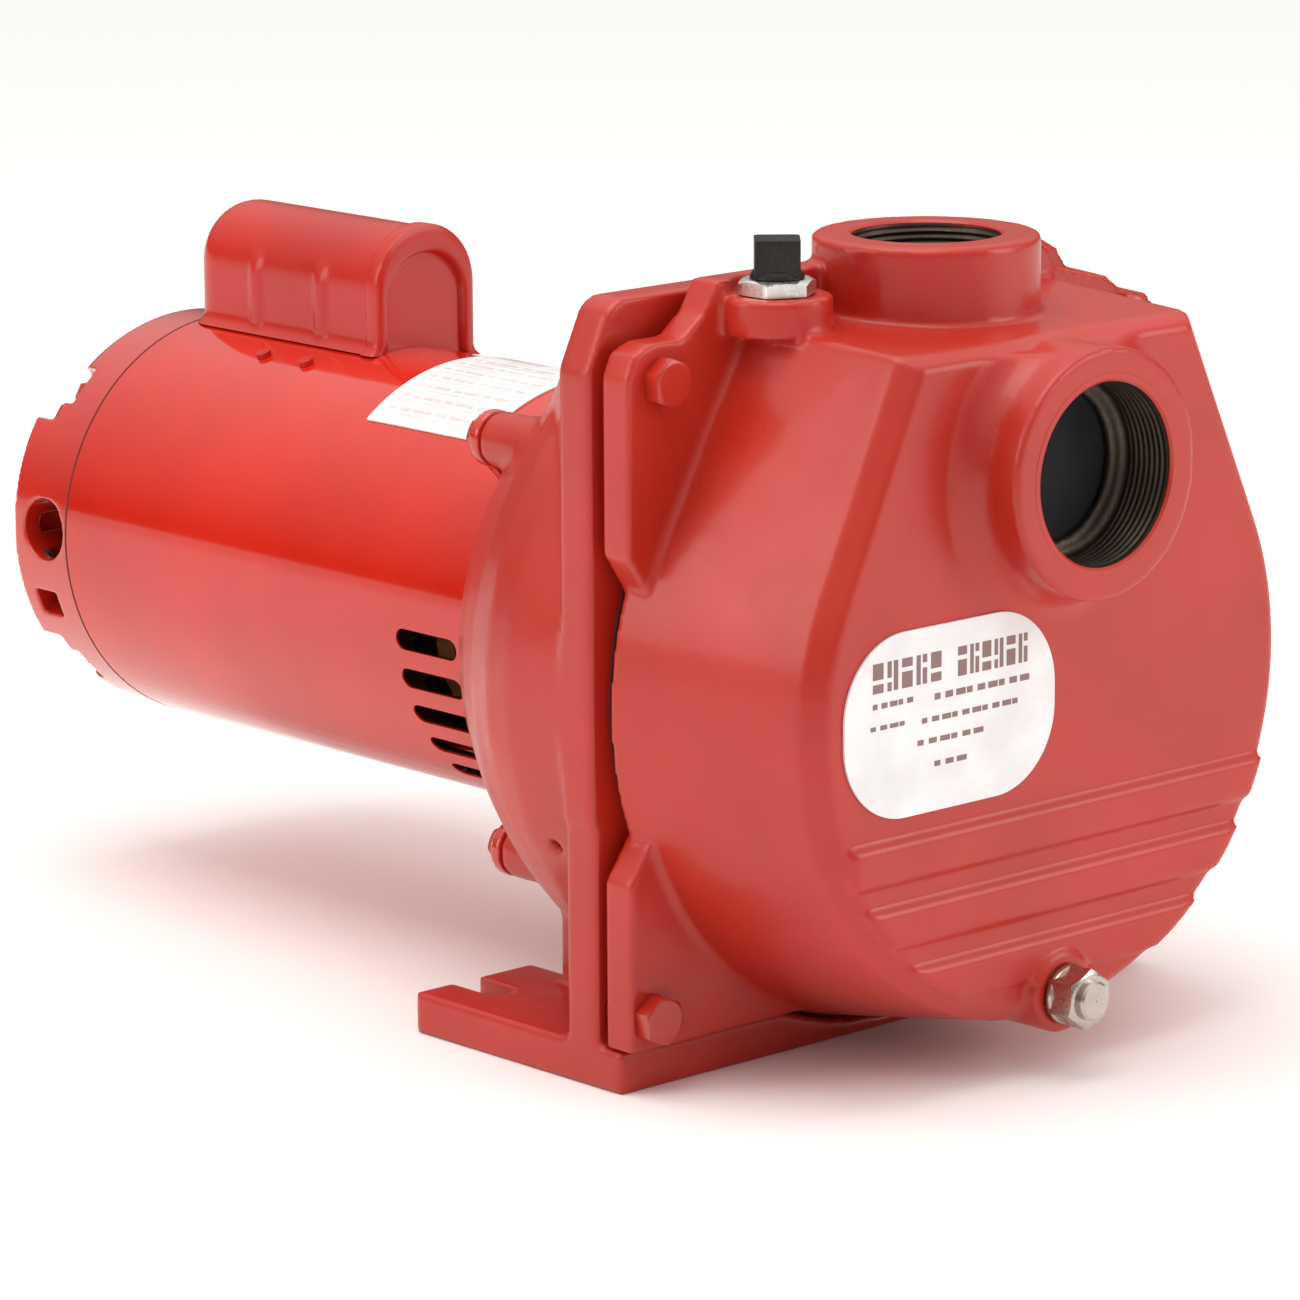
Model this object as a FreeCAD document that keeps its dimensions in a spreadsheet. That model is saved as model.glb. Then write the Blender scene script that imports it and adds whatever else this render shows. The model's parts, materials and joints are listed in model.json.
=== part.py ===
"""Self-priming sprinkler pump with a close-coupled horizontal motor.

Millimetres.  +Z is up, the foot stands on Z = 0, X = 0 is the middle plane and Y = 0 is the joint
between the pump casing (towards -Y, the suction side) and the motor adapter (towards +Y).
"""
import FreeCAD, Part
import math
import os
import re

import Sketcher

doc = FreeCAD.newDocument("SprinklerPump")
Vector = FreeCAD.Vector
ALONG_Y = FreeCAD.Rotation(Vector(1, 0, 0), -90)

# ---------------------------------------------------------------- driving dimensions
SIZE = {
    "axis_height": 121.9,          # shaft above the floor
    # pump casing
    "casing_depth": 86.2,          # joint to front face
    "casing_radius": 105.3,        # front outline
    "casing_centre": 123.8,
    "casing_top": 237.0,
    "casing_corner": 64.0,         # half width of the top at the front
    "root_depth": 7.0,             # groove between the adapter rim and the drum
    "root_radius": 118.0,          # drum outline at the groove
    "root_centre": 123.0,
    "root_top": 241.0,
    "root_corner": 68.0,
    "casing_wall": 9.0,
    "edge_round": 6.5,
    "joint_gap": 4.0,              # open groove between the adapter rim and the casing lugs
    "neck_radius": 112.0,          # bottom of the groove
    "neck_corner": 62.0,
    "neck_top": 235.0,
    "land_radius": 103.0,          # inside edge of the gasket land
    "land_corner": 56.0,
    "land_top": 226.0,
    "lug_depth": 16.4,
    "lug_reach": 118.0,
    "upper_bolt_side": 104.0,      # bolt centres from the middle plane and above the floor
    "upper_bolt_left": 227.0,
    "upper_bolt_right": 223.0,
    "lower_bolt_side": 109.0,
    "lower_bolt": 25.0,
    "bolt_radius": 4.76,
    "bolt_across": 14.3,
    "bolt_head": 6.4,
    "gasket": 0.8,
    "web_front": 57.0,             # wall between suction and discharge chambers
    "web_thick": 5.0,
    "web_eye": 31.6,
    "wall_gap": 0.05,              # fitted pieces of the same body
    # ports
    "suction_height": 196.4,
    "suction_face": 106.7,
    "suction_rim": 40.0,
    "suction_fillet": 11.0,
    "suction_thread": 29.2,
    "suction_thread_end": 86.0,
    "suction_throat": 24.0,
    "seat_depth": 82.0,
    "seat_recess": 31.0,
    "discharge_back": 27.3,
    "discharge_top": 263.7,
    "discharge_rim": 36.3,
    "discharge_base": 252.5,
    "discharge_thread": 23.8,
    "priming_side": 62.0,
    "priming_back": 24.0,
    "priming_boss": 17.5,
    "priming_top": 250.5,
    "priming_thread": 10.2,
    "drain_height": 27.0,
    "drain_boss": 13.0,
    "drain_face": 90.5,
    "drain_thread": 8.0,
    # front face details
    "rib_raise": 2.4,
    "rib_height": 12.5,
    "rib_pitch": 21.2,
    "rib_top": 88.0,
    "rib_left": 91.0,
    "label_left": 94.0,
    "label_right": 2.0,
    "label_low": 95.5,
    "label_high": 154.0,
    "label_round": 26.0,
    "label_thick": 0.8,
    # motor adapter
    "rim_radius": 124.3,
    "rim_depth": 14.8,
    "plate_depth": 10.0,
    "rim_flat": 119.5,
    "adapter_top": 251.0,
    "bell_radius": 119.5,
    "bell_mouth": 76.5,
    "bell_end": 103.0,
    "bell_wall": 6.0,
    "bell_inner_mouth": 71.0,
    "hip_front": 14.0,             # cast shoulders from the rim's corners down to the bell
    "hip_radius": 118.0,
    "hip_corner": 108.0,
    "hip_top": 249.0,
    "hip_back": 88.0,
    "hip_end_radius": 94.0,
    "hip_end_corner": 56.0,
    "hip_end_top": 203.5,
    "hip_wall": 8.0,
    "foot_half": 117.9,
    "foot_inner": 67.5,
    "foot_front": 11.1,
    "foot_back": 88.8,
    "foot_thick": 13.7,
    "slot_centre": 96.0,
    "slot_width": 11.0,
    "slot_depth": 22.0,
    "seal_pocket": 19.1,
    "seal_pocket_depth": 9.0,
    "hub_radius": 32.0,
    "hub_end": 24.0,
    # rotating pump parts
    "shaft_pump": 8.0,
    "shaft_stud": 6.2,
    "shaft_front_seat": 8.5,
    "shaft_rotor": 11.0,
    "shaft_rear_seat": 7.5,
    "impeller_radius": 62.0,
    "diffuser_radius": 84.0,
    # motor
    "shell_radius": 73.3,
    "shell_wall": 1.8,
    "shell_front": 112.0,
    "shell_back": 330.6,
    "ear_circle": 94.0,
    "ear_radius": 9.5,
    "vent_front": 119.0,
    "vent_length": 29.5,
    "vent_width": 7.4,
    "vent_first": 131.0,
    "vent_pitch": 11.0,
    "stack_front": 158.0,
    "stack_length": 55.0,
    "stator_bore": 38.4,
    "rotor_radius": 38.0,
    "slot_count": 24.0,
    "front_race": 20.0,
    "front_race_width": 12.0,
    "front_race_start": 106.0,
    "rear_race": 17.5,
    "rear_race_width": 11.0,
    "rear_race_start": 332.0,
    "bell_back": 356.0,
    "box_back": 362.0,
    "conduit_radius": 11.1,
    "conduit_back": 345.0,
    "cover_back": 364.0,
    # capacitor
    "can_side": 8.5,
    "can_half": 21.0,
    "can_spring": 216.0,
    "can_front": 227.0,
    "can_back": 332.0,
    "can_wall": 1.5,
}

# sizes that follow from the ones above
SIZE.update(
    cavity_radius=SIZE["casing_radius"] - SIZE["casing_wall"],
    cavity_corner=SIZE["casing_corner"] - 8.0,
    cavity_top=SIZE["casing_top"] - SIZE["casing_wall"],
    edge_radius=SIZE["casing_radius"] + 0.8,
    edge_corner=SIZE["casing_corner"] + 0.4,
    edge_top=SIZE["casing_top"] + 0.4,
    hip_inner_radius=SIZE["hip_radius"] - SIZE["hip_wall"],
    hip_inner_corner=SIZE["hip_corner"] - SIZE["hip_wall"],
    hip_inner_top=SIZE["hip_top"] - SIZE["hip_wall"],
    hip_inner_end_radius=SIZE["hip_end_radius"] - SIZE["hip_wall"],
    hip_inner_end_corner=SIZE["hip_end_corner"] - SIZE["hip_wall"],
    hip_inner_end_top=SIZE["hip_end_top"] - SIZE["hip_wall"],
    front_radius=SIZE["casing_radius"] - SIZE["edge_round"] * 0.7,
    front_corner=SIZE["casing_corner"] - SIZE["edge_round"] * 0.7,
    front_top=SIZE["casing_top"] - SIZE["edge_round"] * 0.4,
)

sheet = doc.addObject("Spreadsheet::Sheet", "Sizes")
for row, (alias, number) in enumerate(SIZE.items(), 1):
    sheet.set("A%d" % row, alias)
    sheet.set("B%d" % row, str(number))
    sheet.setAlias("B%d" % row, alias)
doc.recompute()

EARS = (45, 135, 231, 309)         # degrees about the shaft, from +X
RODS = (45, 135, 225, 315)
DIFFUSER_SCREWS = (30, 150, 270)
NODES = []
count = 0


# ---------------------------------------------------------------- small helpers
def bound(text):
    """Turn 'casing_depth - 2' into an expression on the sheet."""
    return re.sub(r"[a-z][a-z_]+", lambda word: "Sizes." + word.group(0), str(text))


def bind(thing, **sizes):
    for name, text in sizes.items():
        thing.setExpression(name, bound(text))


def place(thing, x=0, y=0, z=0):
    """Bind the placement's base to three expressions."""
    for axis, text in zip("xyz", (x, y, z)):
        thing.setExpression("Placement.Base." + axis, bound(text))


def add(kind, hint):
    global count
    count += 1
    return doc.addObject(kind, "%s_%03d" % (hint, count))


def node(name, thing):
    """Name a finished sub-part; its label is its file name."""
    thing.Label = name
    NODES.append(thing)
    return thing


def box(x0, x1, y0, y1, z0, z1):
    made = add("Part::Box", "block")
    bind(made, Length="(%s) - (%s)" % (x1, x0), Width="(%s) - (%s)" % (y1, y0),
         Height="(%s) - (%s)" % (z1, z0))
    place(made, x0, y0, z0)
    return made


def rod(radius, y0, y1, x=0, z="axis_height"):
    """Cylinder along Y."""
    made = add("Part::Cylinder", "rod")
    made.Placement.Rotation = ALONG_Y
    bind(made, Radius=radius, Height="(%s) - (%s)" % (y1, y0))
    place(made, x, y0, z)
    return made


def post(radius, z0, z1, x=0, y=0):
    """Cylinder along Z."""
    made = add("Part::Cylinder", "post")
    bind(made, Radius=radius, Height="(%s) - (%s)" % (z1, z0))
    place(made, x, y, z0)
    return made


def hexagon(across, y0, y1, x=0, z="axis_height"):
    """Hexagonal prism along Y, given across its flats."""
    made = add("Part::Prism", "hexagon")
    made.Polygon = 6
    made.Placement.Rotation = ALONG_Y
    bind(made, Circumradius="(%s) / 1.732" % across, Height="(%s) - (%s)" % (y1, y0))
    place(made, x, y0, z)
    return made


def ring_round(major, minor, y, x=0, z="axis_height"):
    """Torus about an axis along Y."""
    made = add("Part::Torus", "torus")
    made.Placement.Rotation = ALONG_Y
    bind(made, Radius1=major, Radius2=minor)
    place(made, x, y, z)
    return made


def fuse(*things):
    made = add("Part::MultiFuse", "joined")
    made.Shapes = list(things)
    return made


def cut(base, *tools):
    made = add("Part::Cut", "cut")
    made.Base = base
    made.Tool = tools[0] if len(tools) == 1 else fuse(*tools)
    return made


def common(first, second):
    made = add("Part::Common", "common")
    made.Base = first
    made.Tool = second
    return made


def group(*things):
    """Separate solids that share one node."""
    made = add("Part::Compound", "group")
    made.Links = list(things)
    return made


def origin_plane(body, role):
    return next(plane for plane in body.Origin.OriginFeatures if plane.Role == role)


def new_sketch(body, role, offset=None):
    sketch = body.newObject("Sketcher::SketchObject", body.Name + "_sketch")
    sketch.AttachmentSupport = (origin_plane(body, role), [""])
    sketch.MapMode = "FlatFace"
    if offset is not None:
        sketch.setExpression("AttachmentOffset.Base.z", bound(offset))
    return sketch


def dimension(sketch, kind, where, text):
    """Add a driving constraint and bind it to the sheet."""
    index = sketch.addConstraint(Sketcher.Constraint(kind, *where, 1.0))
    sketch.setExpression("Constraints[%d]" % index, bound(text))


def polygon(sketch, points):
    """Closed outline through the points, each coordinate bound to the sheet."""
    total = len(points)
    turn = 2 * math.pi / total
    ring = [Vector(50 + 20 * math.cos(turn * i), 50 + 20 * math.sin(turn * i), 0) for i in range(total)]
    for i in range(total):
        sketch.addGeometry(Part.LineSegment(ring[i], ring[(i + 1) % total]), False)
    for i in range(total):
        sketch.addConstraint(Sketcher.Constraint("Coincident", i, 2, (i + 1) % total, 1))
    for i, (across, up) in enumerate(points):
        dimension(sketch, "DistanceX", (-1, 1, i, 1), across)
        dimension(sketch, "DistanceY", (-1, 1, i, 1), up)


def turned(points, x=0, z="axis_height"):
    """Body turned about a line along Y through (x, z); points are (radius, y)."""
    body = add("PartDesign::Body", "turned")
    sketch = new_sketch(body, "XY_Plane")
    polygon(sketch, points)
    turn = body.newObject("PartDesign::Revolution", body.Name + "_turn")
    turn.Profile = sketch
    turn.ReferenceAxis = (sketch, ["V_Axis"])
    turn.Angle = 360
    place(body, x, 0, z)
    return body


def tube(inner, outer, y0, y1, x=0, z="axis_height"):
    return turned([(inner, y0), (outer, y0), (outer, y1), (inner, y1)], x, z)


def plate(points, y0, y1):
    """Prism along Y from an outline of (x, z) points."""
    body = add("PartDesign::Body", "plate")
    sketch = new_sketch(body, "XZ_Plane")
    polygon(sketch, points)
    pad = body.newObject("PartDesign::Pad", body.Name + "_pad")
    pad.Profile = sketch
    pad.Reversed = True
    bind(pad, Length="(%s) - (%s)" % (y1, y0))
    place(body, 0, y0, 0)
    return body


def around(thing, angle):
    """Turn a finished piece about the shaft axis, from +X towards +Z."""
    spin = FreeCAD.Rotation(Vector(0, 1, 0), -angle)
    centre = Vector(0, 0, SIZE["axis_height"])
    made = add("Part::Feature", "turned_copy")
    made.Shape = thing.Shape.copy()
    made.Placement = FreeCAD.Placement(centre, spin).multiply(
        FreeCAD.Placement(-centre, FreeCAD.Rotation())).multiply(thing.Placement)
    return made


def at_angle(radius, angle):
    """(x, z) of a point on a circle about the shaft axis."""
    turn = math.radians(angle)
    return radius * math.cos(turn), SIZE["axis_height"] + radius * math.sin(turn)


# ---------------------------------------------------------------- pump casing
def drum_sketch(body, offset, radius, centre, corner, top):
    """Round-bottomed outline whose straight sides run tangent up to a flat top."""
    sketch = new_sketch(body, "XZ_Plane", offset)
    rad, mid, half, high = (SIZE[word] for word in (radius, centre, corner, top))
    reach = math.hypot(half, high - mid)
    start = math.atan2(high - mid, half) - math.acos(rad / reach)
    right = Vector(rad * math.cos(start), mid + rad * math.sin(start), 0)
    left = Vector(-right.x, right.y, 0)
    circle = Part.Circle(Vector(0, mid, 0), Vector(0, 0, 1), rad)
    sketch.addGeometry(Part.ArcOfCircle(circle, math.pi - start, 2 * math.pi + start), False)
    sketch.addGeometry(Part.LineSegment(right, Vector(half, high, 0)), False)
    sketch.addGeometry(Part.LineSegment(Vector(half, high, 0), Vector(-half, high, 0)), False)
    sketch.addGeometry(Part.LineSegment(Vector(-half, high, 0), left), False)
    sketch.addConstraint(Sketcher.Constraint("Tangent", 0, 2, 1, 1))
    sketch.addConstraint(Sketcher.Constraint("Coincident", 1, 2, 2, 1))
    sketch.addConstraint(Sketcher.Constraint("Coincident", 2, 2, 3, 1))
    sketch.addConstraint(Sketcher.Constraint("Tangent", 3, 2, 0, 1))
    dimension(sketch, "DistanceX", (-1, 1, 0, 3), "0")
    dimension(sketch, "DistanceY", (-1, 1, 0, 3), centre)
    sketch.setExpression("Constraints[%d]" % sketch.addConstraint(
        Sketcher.Constraint("Radius", 0, rad)), bound(radius))
    for end, sign in ((1, ""), (2, "-")):
        dimension(sketch, "DistanceX", (-1, 1, 2, end), sign + corner)
        dimension(sketch, "DistanceY", (-1, 1, 2, end), top)
    return sketch


def drum(front, back):
    """Loft between two outlines; each is (depth, radius, centre, corner, top)."""
    body = add("PartDesign::Body", "drum")
    near = drum_sketch(body, *front)
    far = drum_sketch(body, *back)
    loft = body.newObject("PartDesign::AdditiveLoft", body.Name + "_loft")
    loft.Profile = near
    loft.Sections = [far]
    loft.Ruled = True
    return body, loft


def chamfered_drum():
    """Tapered drum with its front edge broken all round."""
    main, _ = drum(("casing_depth - edge_round", "edge_radius", "casing_centre", "edge_corner", "edge_top"),
                   ("root_depth", "root_radius", "root_centre", "root_corner", "root_top"))
    edge, _ = drum(("casing_depth", "front_radius", "casing_centre", "front_corner", "front_top"),
                   ("casing_depth - edge_round", "edge_radius", "casing_centre", "edge_corner", "edge_top"))
    return fuse(main, edge)


def lofted_cavity():
    """Space inside the casing, from the gasket face to the front wall."""
    body, _ = drum(("casing_depth - casing_wall", "cavity_radius", "casing_centre",
                    "cavity_corner", "cavity_top"),
                   ("0", "land_radius", "root_centre", "land_corner", "land_top"))
    return body


def flange_outline():
    """Upper part of the bolting flange: a plateau on top and a lower shoulder over the right lug."""
    right = [("54", "adapter_top + 4.5"), ("66", "251.5"), ("71", "243.5"), ("96", "237"), ("101", "233.5"),
             ("lug_reach - 4", "230"), ("lug_reach", "225"), ("lug_reach", "173"), ("108", "158")]
    left = [("80", "adapter_top + 4.5"), ("86", "246"), ("95", "239"), ("lug_reach - 10", "239"),
            ("lug_reach - 3", "236"), ("lug_reach", "229"), ("lug_reach", "173"), ("108", "158")]
    return right + [("-(%s)" % across, up) for across, up in reversed(left)]


def lower_lug(side):
    low = "foot_thick + 0.6"
    points = [("108", "83"), ("lug_reach", "69"), ("lug_reach", low), ("30", low), ("30", "60")]
    if side < 0:
        points = [("-(%s)" % across, up) for across, up in points]
    return plate(points, "-lug_depth", "-joint_gap")


def neck_drum(front, back):
    """Straight-sided spigot between the drum and the gasket face."""
    body, _ = drum((front, "neck_radius", "root_centre", "neck_corner", "neck_top"),
                   (back, "neck_radius", "root_centre", "neck_corner", "neck_top"))
    return body


def casing_bolt_places():
    return [("-upper_bolt_side", "upper_bolt_left"), ("upper_bolt_side", "upper_bolt_right"),
            ("-lower_bolt_side", "lower_bolt"), ("lower_bolt_side", "lower_bolt")]


def suction_boss():
    ring = cut(rod("suction_rim + suction_fillet", "-casing_depth - suction_fillet", "2 - casing_depth",
                   0, "suction_height"),
               ring_round("suction_rim + suction_fillet", "suction_fillet",
                          "-casing_depth - suction_fillet", 0, "suction_height"))
    inside = box("-70", "70", "-casing_depth - 30", "-casing_depth + 5", "100", "casing_top - 2.5")
    return fuse(rod("suction_rim", "-suction_face", "edge_round - casing_depth", 0, "suction_height"),
                common(ring, inside))


def pump_casing():
    shell = chamfered_drum()
    cavity = lofted_cavity()
    neck = neck_drum("root_depth + 2", "gasket")
    flange = plate(flange_outline(), "-lug_depth", "-joint_gap")
    discharge = post("discharge_rim", "discharge_base", "discharge_top", 0, "-discharge_back")
    stem = common(post("discharge_rim", "root_top - 14", "discharge_base + 1", 0, "-discharge_back"),
                  box("-60", "60", "-90", "-joint_gap", "200", "260"))
    priming = post("priming_boss", "priming_top - 12", "priming_top", "-priming_side", "-priming_back")
    drain = rod("drain_boss", "-drain_face", "-casing_depth + 20", 0, "drain_height")
    ribs = [box("-rib_left", "lug_reach", "-casing_depth - rib_raise", "-casing_depth + 1",
                "rib_top - rib_height - %d * rib_pitch" % step, "rib_top - %d * rib_pitch" % step)
            for step in range(3)]
    ribs = common(fuse(*ribs), rod("front_radius + 1", "-casing_depth - 5", "-casing_depth + 5",
                                   0, "casing_centre"))
    body = fuse(shell, neck, flange, lower_lug(-1), lower_lug(1), suction_boss(), discharge, stem,
                priming, drain, ribs)
    body = cut(body, cavity)

    wall = common(cavity, box("-130", "130", "-web_front", "web_thick - web_front", "0", "260"))
    hinge_ears = [box("%s" % (side * 14 - 2.5), "%s" % (side * 14 + 2.5), "-seat_depth", "-76.5",
                      "suction_height + 23", "suction_height + 33") for side in (-1, 1)]
    tools = [rod("web_eye", "-web_front - 1", "web_thick - web_front + 1"),
             rod("suction_thread", "-suction_face - 1", "-suction_thread_end", 0, "suction_height"),
             rod("suction_throat", "-suction_face", "-casing_depth + casing_wall + 1", 0, "suction_height"),
             post("discharge_thread", "land_top - 10", "discharge_top + 1", 0, "-discharge_back"),
             post("priming_thread", "priming_top - 10.2", "priming_top + 1", "-priming_side",
                  "-priming_back"),
             post("5.5", "land_top - 12", "priming_top - 9", "4 - priming_side", "-priming_back"),
             rod("drain_thread", "-drain_face - 1", "-casing_depth + casing_wall + 3", 0, "drain_height"),
             post("14", "priming_top", "priming_top + 8", "-priming_side", "-priming_back")]
    tools += [rod("bolt_radius + 0.3", "-lug_depth - 1", "1", x, z) for x, z in casing_bolt_places()]
    recess = cut(rod("seat_recess", "-seat_depth", "-casing_depth + casing_wall + 0.5", 0,
                     "suction_height"), *hinge_ears)
    pin_hole = add("Part::Cylinder", "pin_hole")
    pin_hole.Placement.Rotation = FreeCAD.Rotation(Vector(0, 1, 0), 90)
    bind(pin_hole, Radius="1.55", Height="34")
    place(pin_hole, "-17", "2.4 - seat_depth", "suction_height + 27")
    return node("pump_casing", cut(fuse(body, wall), *tools, recess, pin_hole)), cavity


def casing_gasket(cavity):
    node("casing_gasket", cut(neck_drum("gasket", "0"), cavity))


# ---------------------------------------------------------------- motor adapter
def bell_profile(grow, front):
    """Dome of the adapter between the rim and the motor, shrunk by a wall where asked."""
    return [("0", front), ("bell_radius - (%s)" % grow, front), ("bell_radius - (%s)" % grow, "40"),
            ("117.5 - (%s)" % grow, "52"), ("111.5 - (%s)" % grow, "66"), ("103 - (%s)" % grow, "80"),
            ("92 - (%s)" % grow, "95"), ("bell_mouth - (%s)" % grow, "bell_end"), ("0", "bell_end")]


def crown_outline(low, inset):
    """Outline of the adapter above the given height; its right shoulder is lower than its left one."""
    right = [("80", "adapter_top"), ("89", "246"), ("93", "239.5"), ("113", "234"), ("118", "229.5"),
             ("rim_flat", "222")]
    left = [("rim_flat", "adapter_top - 22"), ("rim_flat - 9", "adapter_top - 2.8"),
            ("rim_flat - 14", "adapter_top")]
    right = [("%s - %s" % (across, inset), "%s - %s" % (up, inset)) for across, up in right]
    left = [("%s - (%s)" % (inset, across), "%s - %s" % (up, inset)) for across, up in left]
    side = "rim_flat - " + inset
    return right + [(side, low), ("-(%s)" % side, low)] + left


def motor_adapter():
    rim = common(rod("rim_radius", "0", "rim_depth"),
                 box("-rim_flat", "rim_flat", "-1", "20", "0", "300"))
    crown = plate(crown_outline("150", "0"), "0", "rim_depth")
    hip, _ = drum(("-hip_front", "hip_radius", "axis_height", "hip_corner", "hip_top"),
                  ("-hip_back", "hip_end_radius", "axis_height", "hip_end_corner", "hip_end_top"))
    hip_hollow, _ = drum(("-hip_front - 2", "hip_inner_radius", "axis_height", "hip_inner_corner",
                          "hip_inner_top"),
                         ("-hip_back + 2", "hip_inner_end_radius", "axis_height", "hip_inner_end_corner",
                          "hip_inner_end_top"))
    hip = common(hip, plate(crown_outline("0", "0"), "0", "hip_back"))
    hip_hollow = common(hip_hollow, plate(crown_outline("0", "hip_wall"), "0", "hip_back"))
    sides = [box(x0, x1, "0", "rim_depth", "foot_thick - 1", "90")
             for x0, x1 in (("-foot_half", "-foot_inner"), ("foot_inner", "foot_half"))]
    feet = [box(x0, x1, "-foot_front", "foot_back", "0", "foot_thick")
            for x0, x1 in (("-foot_half", "-foot_inner"), ("foot_inner", "foot_half"))]
    toe = cut(box("-foot_half", "foot_half", "-foot_front", "rim_depth", "0", "foot_thick"),
              rod("root_radius + 0.7", "-foot_front - 1", "0", 0, "root_centre"))
    ribs = [box(x0, x1, "0", "64", "foot_thick - 1", "56")
            for x0, x1 in (("-foot_inner - 9", "-foot_inner"), ("foot_inner", "foot_inner + 9"))]
    bell = turned(bell_profile("0", "1"))
    hollow = turned(bell_profile("bell_wall", "plate_depth"))
    hub = rod("hub_radius", "0", "hub_end")
    outside = fuse(rim, crown, *sides, *feet, toe, *ribs, bell, hip)
    slots = []
    for side in (-1, 1):
        middle = side * SIZE["slot_centre"]
        half = SIZE["slot_width"] / 2
        slots += [box(middle - half, middle + half, "foot_back - slot_depth + slot_width / 2",
                      "foot_back + 1", "-1", "foot_thick + 1"),
                  post("slot_width / 2", "-1", "foot_thick + 1", middle,
                       "foot_back - slot_depth + slot_width / 2")]
    holes = [rod("bolt_radius + 0.02", "-1", "rim_depth - 1", x, z) for x, z in casing_bolt_places()]
    screw_holes = [rod("2.5", "-1", "plate_depth - 1", *at_angle(90, angle)) for angle in DIFFUSER_SCREWS]
    ear_holes = [rod("4", "bell_end - 15", "bell_end + 1", *at_angle(SIZE["ear_circle"], angle))
                 for angle in EARS]
    ears = [rod("ear_radius", "bell_end - 38", "bell_end", *at_angle(SIZE["ear_circle"], angle))
            for angle in EARS]
    body = fuse(cut(outside, hollow, hip_hollow), hub, *ears)
    weep = add("Part::Cylinder", "weep_hole")
    weep.Placement.Rotation = FreeCAD.Rotation(Vector(0, 1, 0), 90)
    bind(weep, Radius="2.2", Height="20")
    place(weep, "bell_radius - 12", "29.5", "axis_height")
    doc.recompute()
    weep = around(weep, 205)
    bores = [rod("seal_pocket", "-1", "seal_pocket_depth"), rod("10", "-1", "hub_end + 1"),
             rod("bell_inner_mouth", "bell_end - 8", "bell_end + 1")]
    node("motor_adapter", cut(body, *slots, *holes, *screw_holes, *ear_holes, *bores, weep))


# ---------------------------------------------------------------- fasteners

def hex_bolt(x, z, head, seat, tip, radius, across):
    """Bolt along Y: the head from head to seat, the shank on to the tip."""
    return fuse(hexagon(across, head, seat, x, z), rod(radius, seat, tip, x, z))


def fasteners():
    node("casing_bolts", group(*[
        hex_bolt(x, z, "-lug_depth - bolt_head", "-lug_depth", "rim_depth - 2", "bolt_radius", "bolt_across")
        for x, z in casing_bolt_places()]))
    node("diffuser_screws", group(*[
        hex_bolt(*at_angle(90, angle), "-7", "-4", "plate_depth - 2", "2.4", "8")
        for angle in DIFFUSER_SCREWS]))
    node("motor_mount_bolts", group(*[
        fuse(rod("3.9", "bell_end - 14.5", "bell_end + 5", *at_angle(SIZE["ear_circle"], angle)),
             hexagon("11", "bell_end + 5", "bell_end + 10", *at_angle(SIZE["ear_circle"], angle)))
        for angle in EARS]))
    node("thru_bolts", group(*[
        fuse(rod("2.2", "shell_front - 3", "bell_back - 9", *at_angle(66, angle)),
             hexagon("9.5", "bell_back - 9", "bell_back - 5", *at_angle(66, angle)))
        for angle in RODS]))


# ---------------------------------------------------------------- wet end
def wet_end():
    skirt = "diffuser_radius"
    front = "web_thick - web_front"
    cup = turned([("24.6", "-web_front - 3"), ("web_eye - 2", "-web_front - 3"),
                  ("web_eye - 2", front + " + 0.3"), (skirt, front + " + 0.3"), (skirt, "-4"), ("97", "-4"),
                  ("97", "-wall_gap"), (skirt + " - 3.5", "-wall_gap"),
                  (skirt + " - 3.5", front + " + 3.8"), ("24.6", front + " + 3.8")])
    windows = [rod("9", "-38", "-14", *at_angle(SIZE["diffuser_radius"] - 2, angle + 22))
               for angle in range(0, 360, 45)]
    holes = [rod("2.6", "-6", "1", *at_angle(90, angle)) for angle in DIFFUSER_SCREWS]
    node("diffuser", cut(cup, *windows, *holes))
    node("diffuser_o_ring", ring_round("web_eye - 1", "0.9", "web_thick / 2 - web_front"))

    back_shroud = turned([("6.25", "-45"), ("14", "-45"), ("15", "-31"), ("impeller_radius", "-29"),
                          ("impeller_radius", "-26.5"), ("14", "-26.5"), ("14", "-25"), ("6.25", "-25")])
    front_shroud = turned([("22", "-56"), ("24.5", "-56"), ("24.5", "-45"), ("impeller_radius", "-39"),
                           ("impeller_radius", "-36.5"), ("24", "-42"), ("22", "-45")])
    blade = box("20", "impeller_radius - 5", "-42", "-28", "axis_height - 22", "axis_height - 19")
    doc.recompute()
    blades = [around(blade, 60 * turn) for turn in range(6)]
    node("impeller", fuse(back_shroud, front_shroud, *blades))
    nut = cut(hexagon("19", "-52", "-45.1"), rod("shaft_stud + wall_gap", "-53", "-40"))
    node("impeller_nut", nut)

    node("seal_seat", tube("9.6", "seal_pocket - wall_gap", "0.1", "seal_pocket_depth - 0.1"))
    node("seal_head", turned([("shaft_pump + wall_gap", "-24.9"), ("15.5", "-24.9"), ("15.5", "-23.4"),
                              ("10", "-23.4"), ("10", "-6"), ("15", "-6"), ("15", "-0.05"),
                              ("shaft_pump + wall_gap", "-0.05")]))
    node("seal_spring", spring(12.6, 1.0, -22.2, -7.2, 3.5))
    node("slinger", tube("shaft_pump + wall_gap", "20", "60", "63"))


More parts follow.
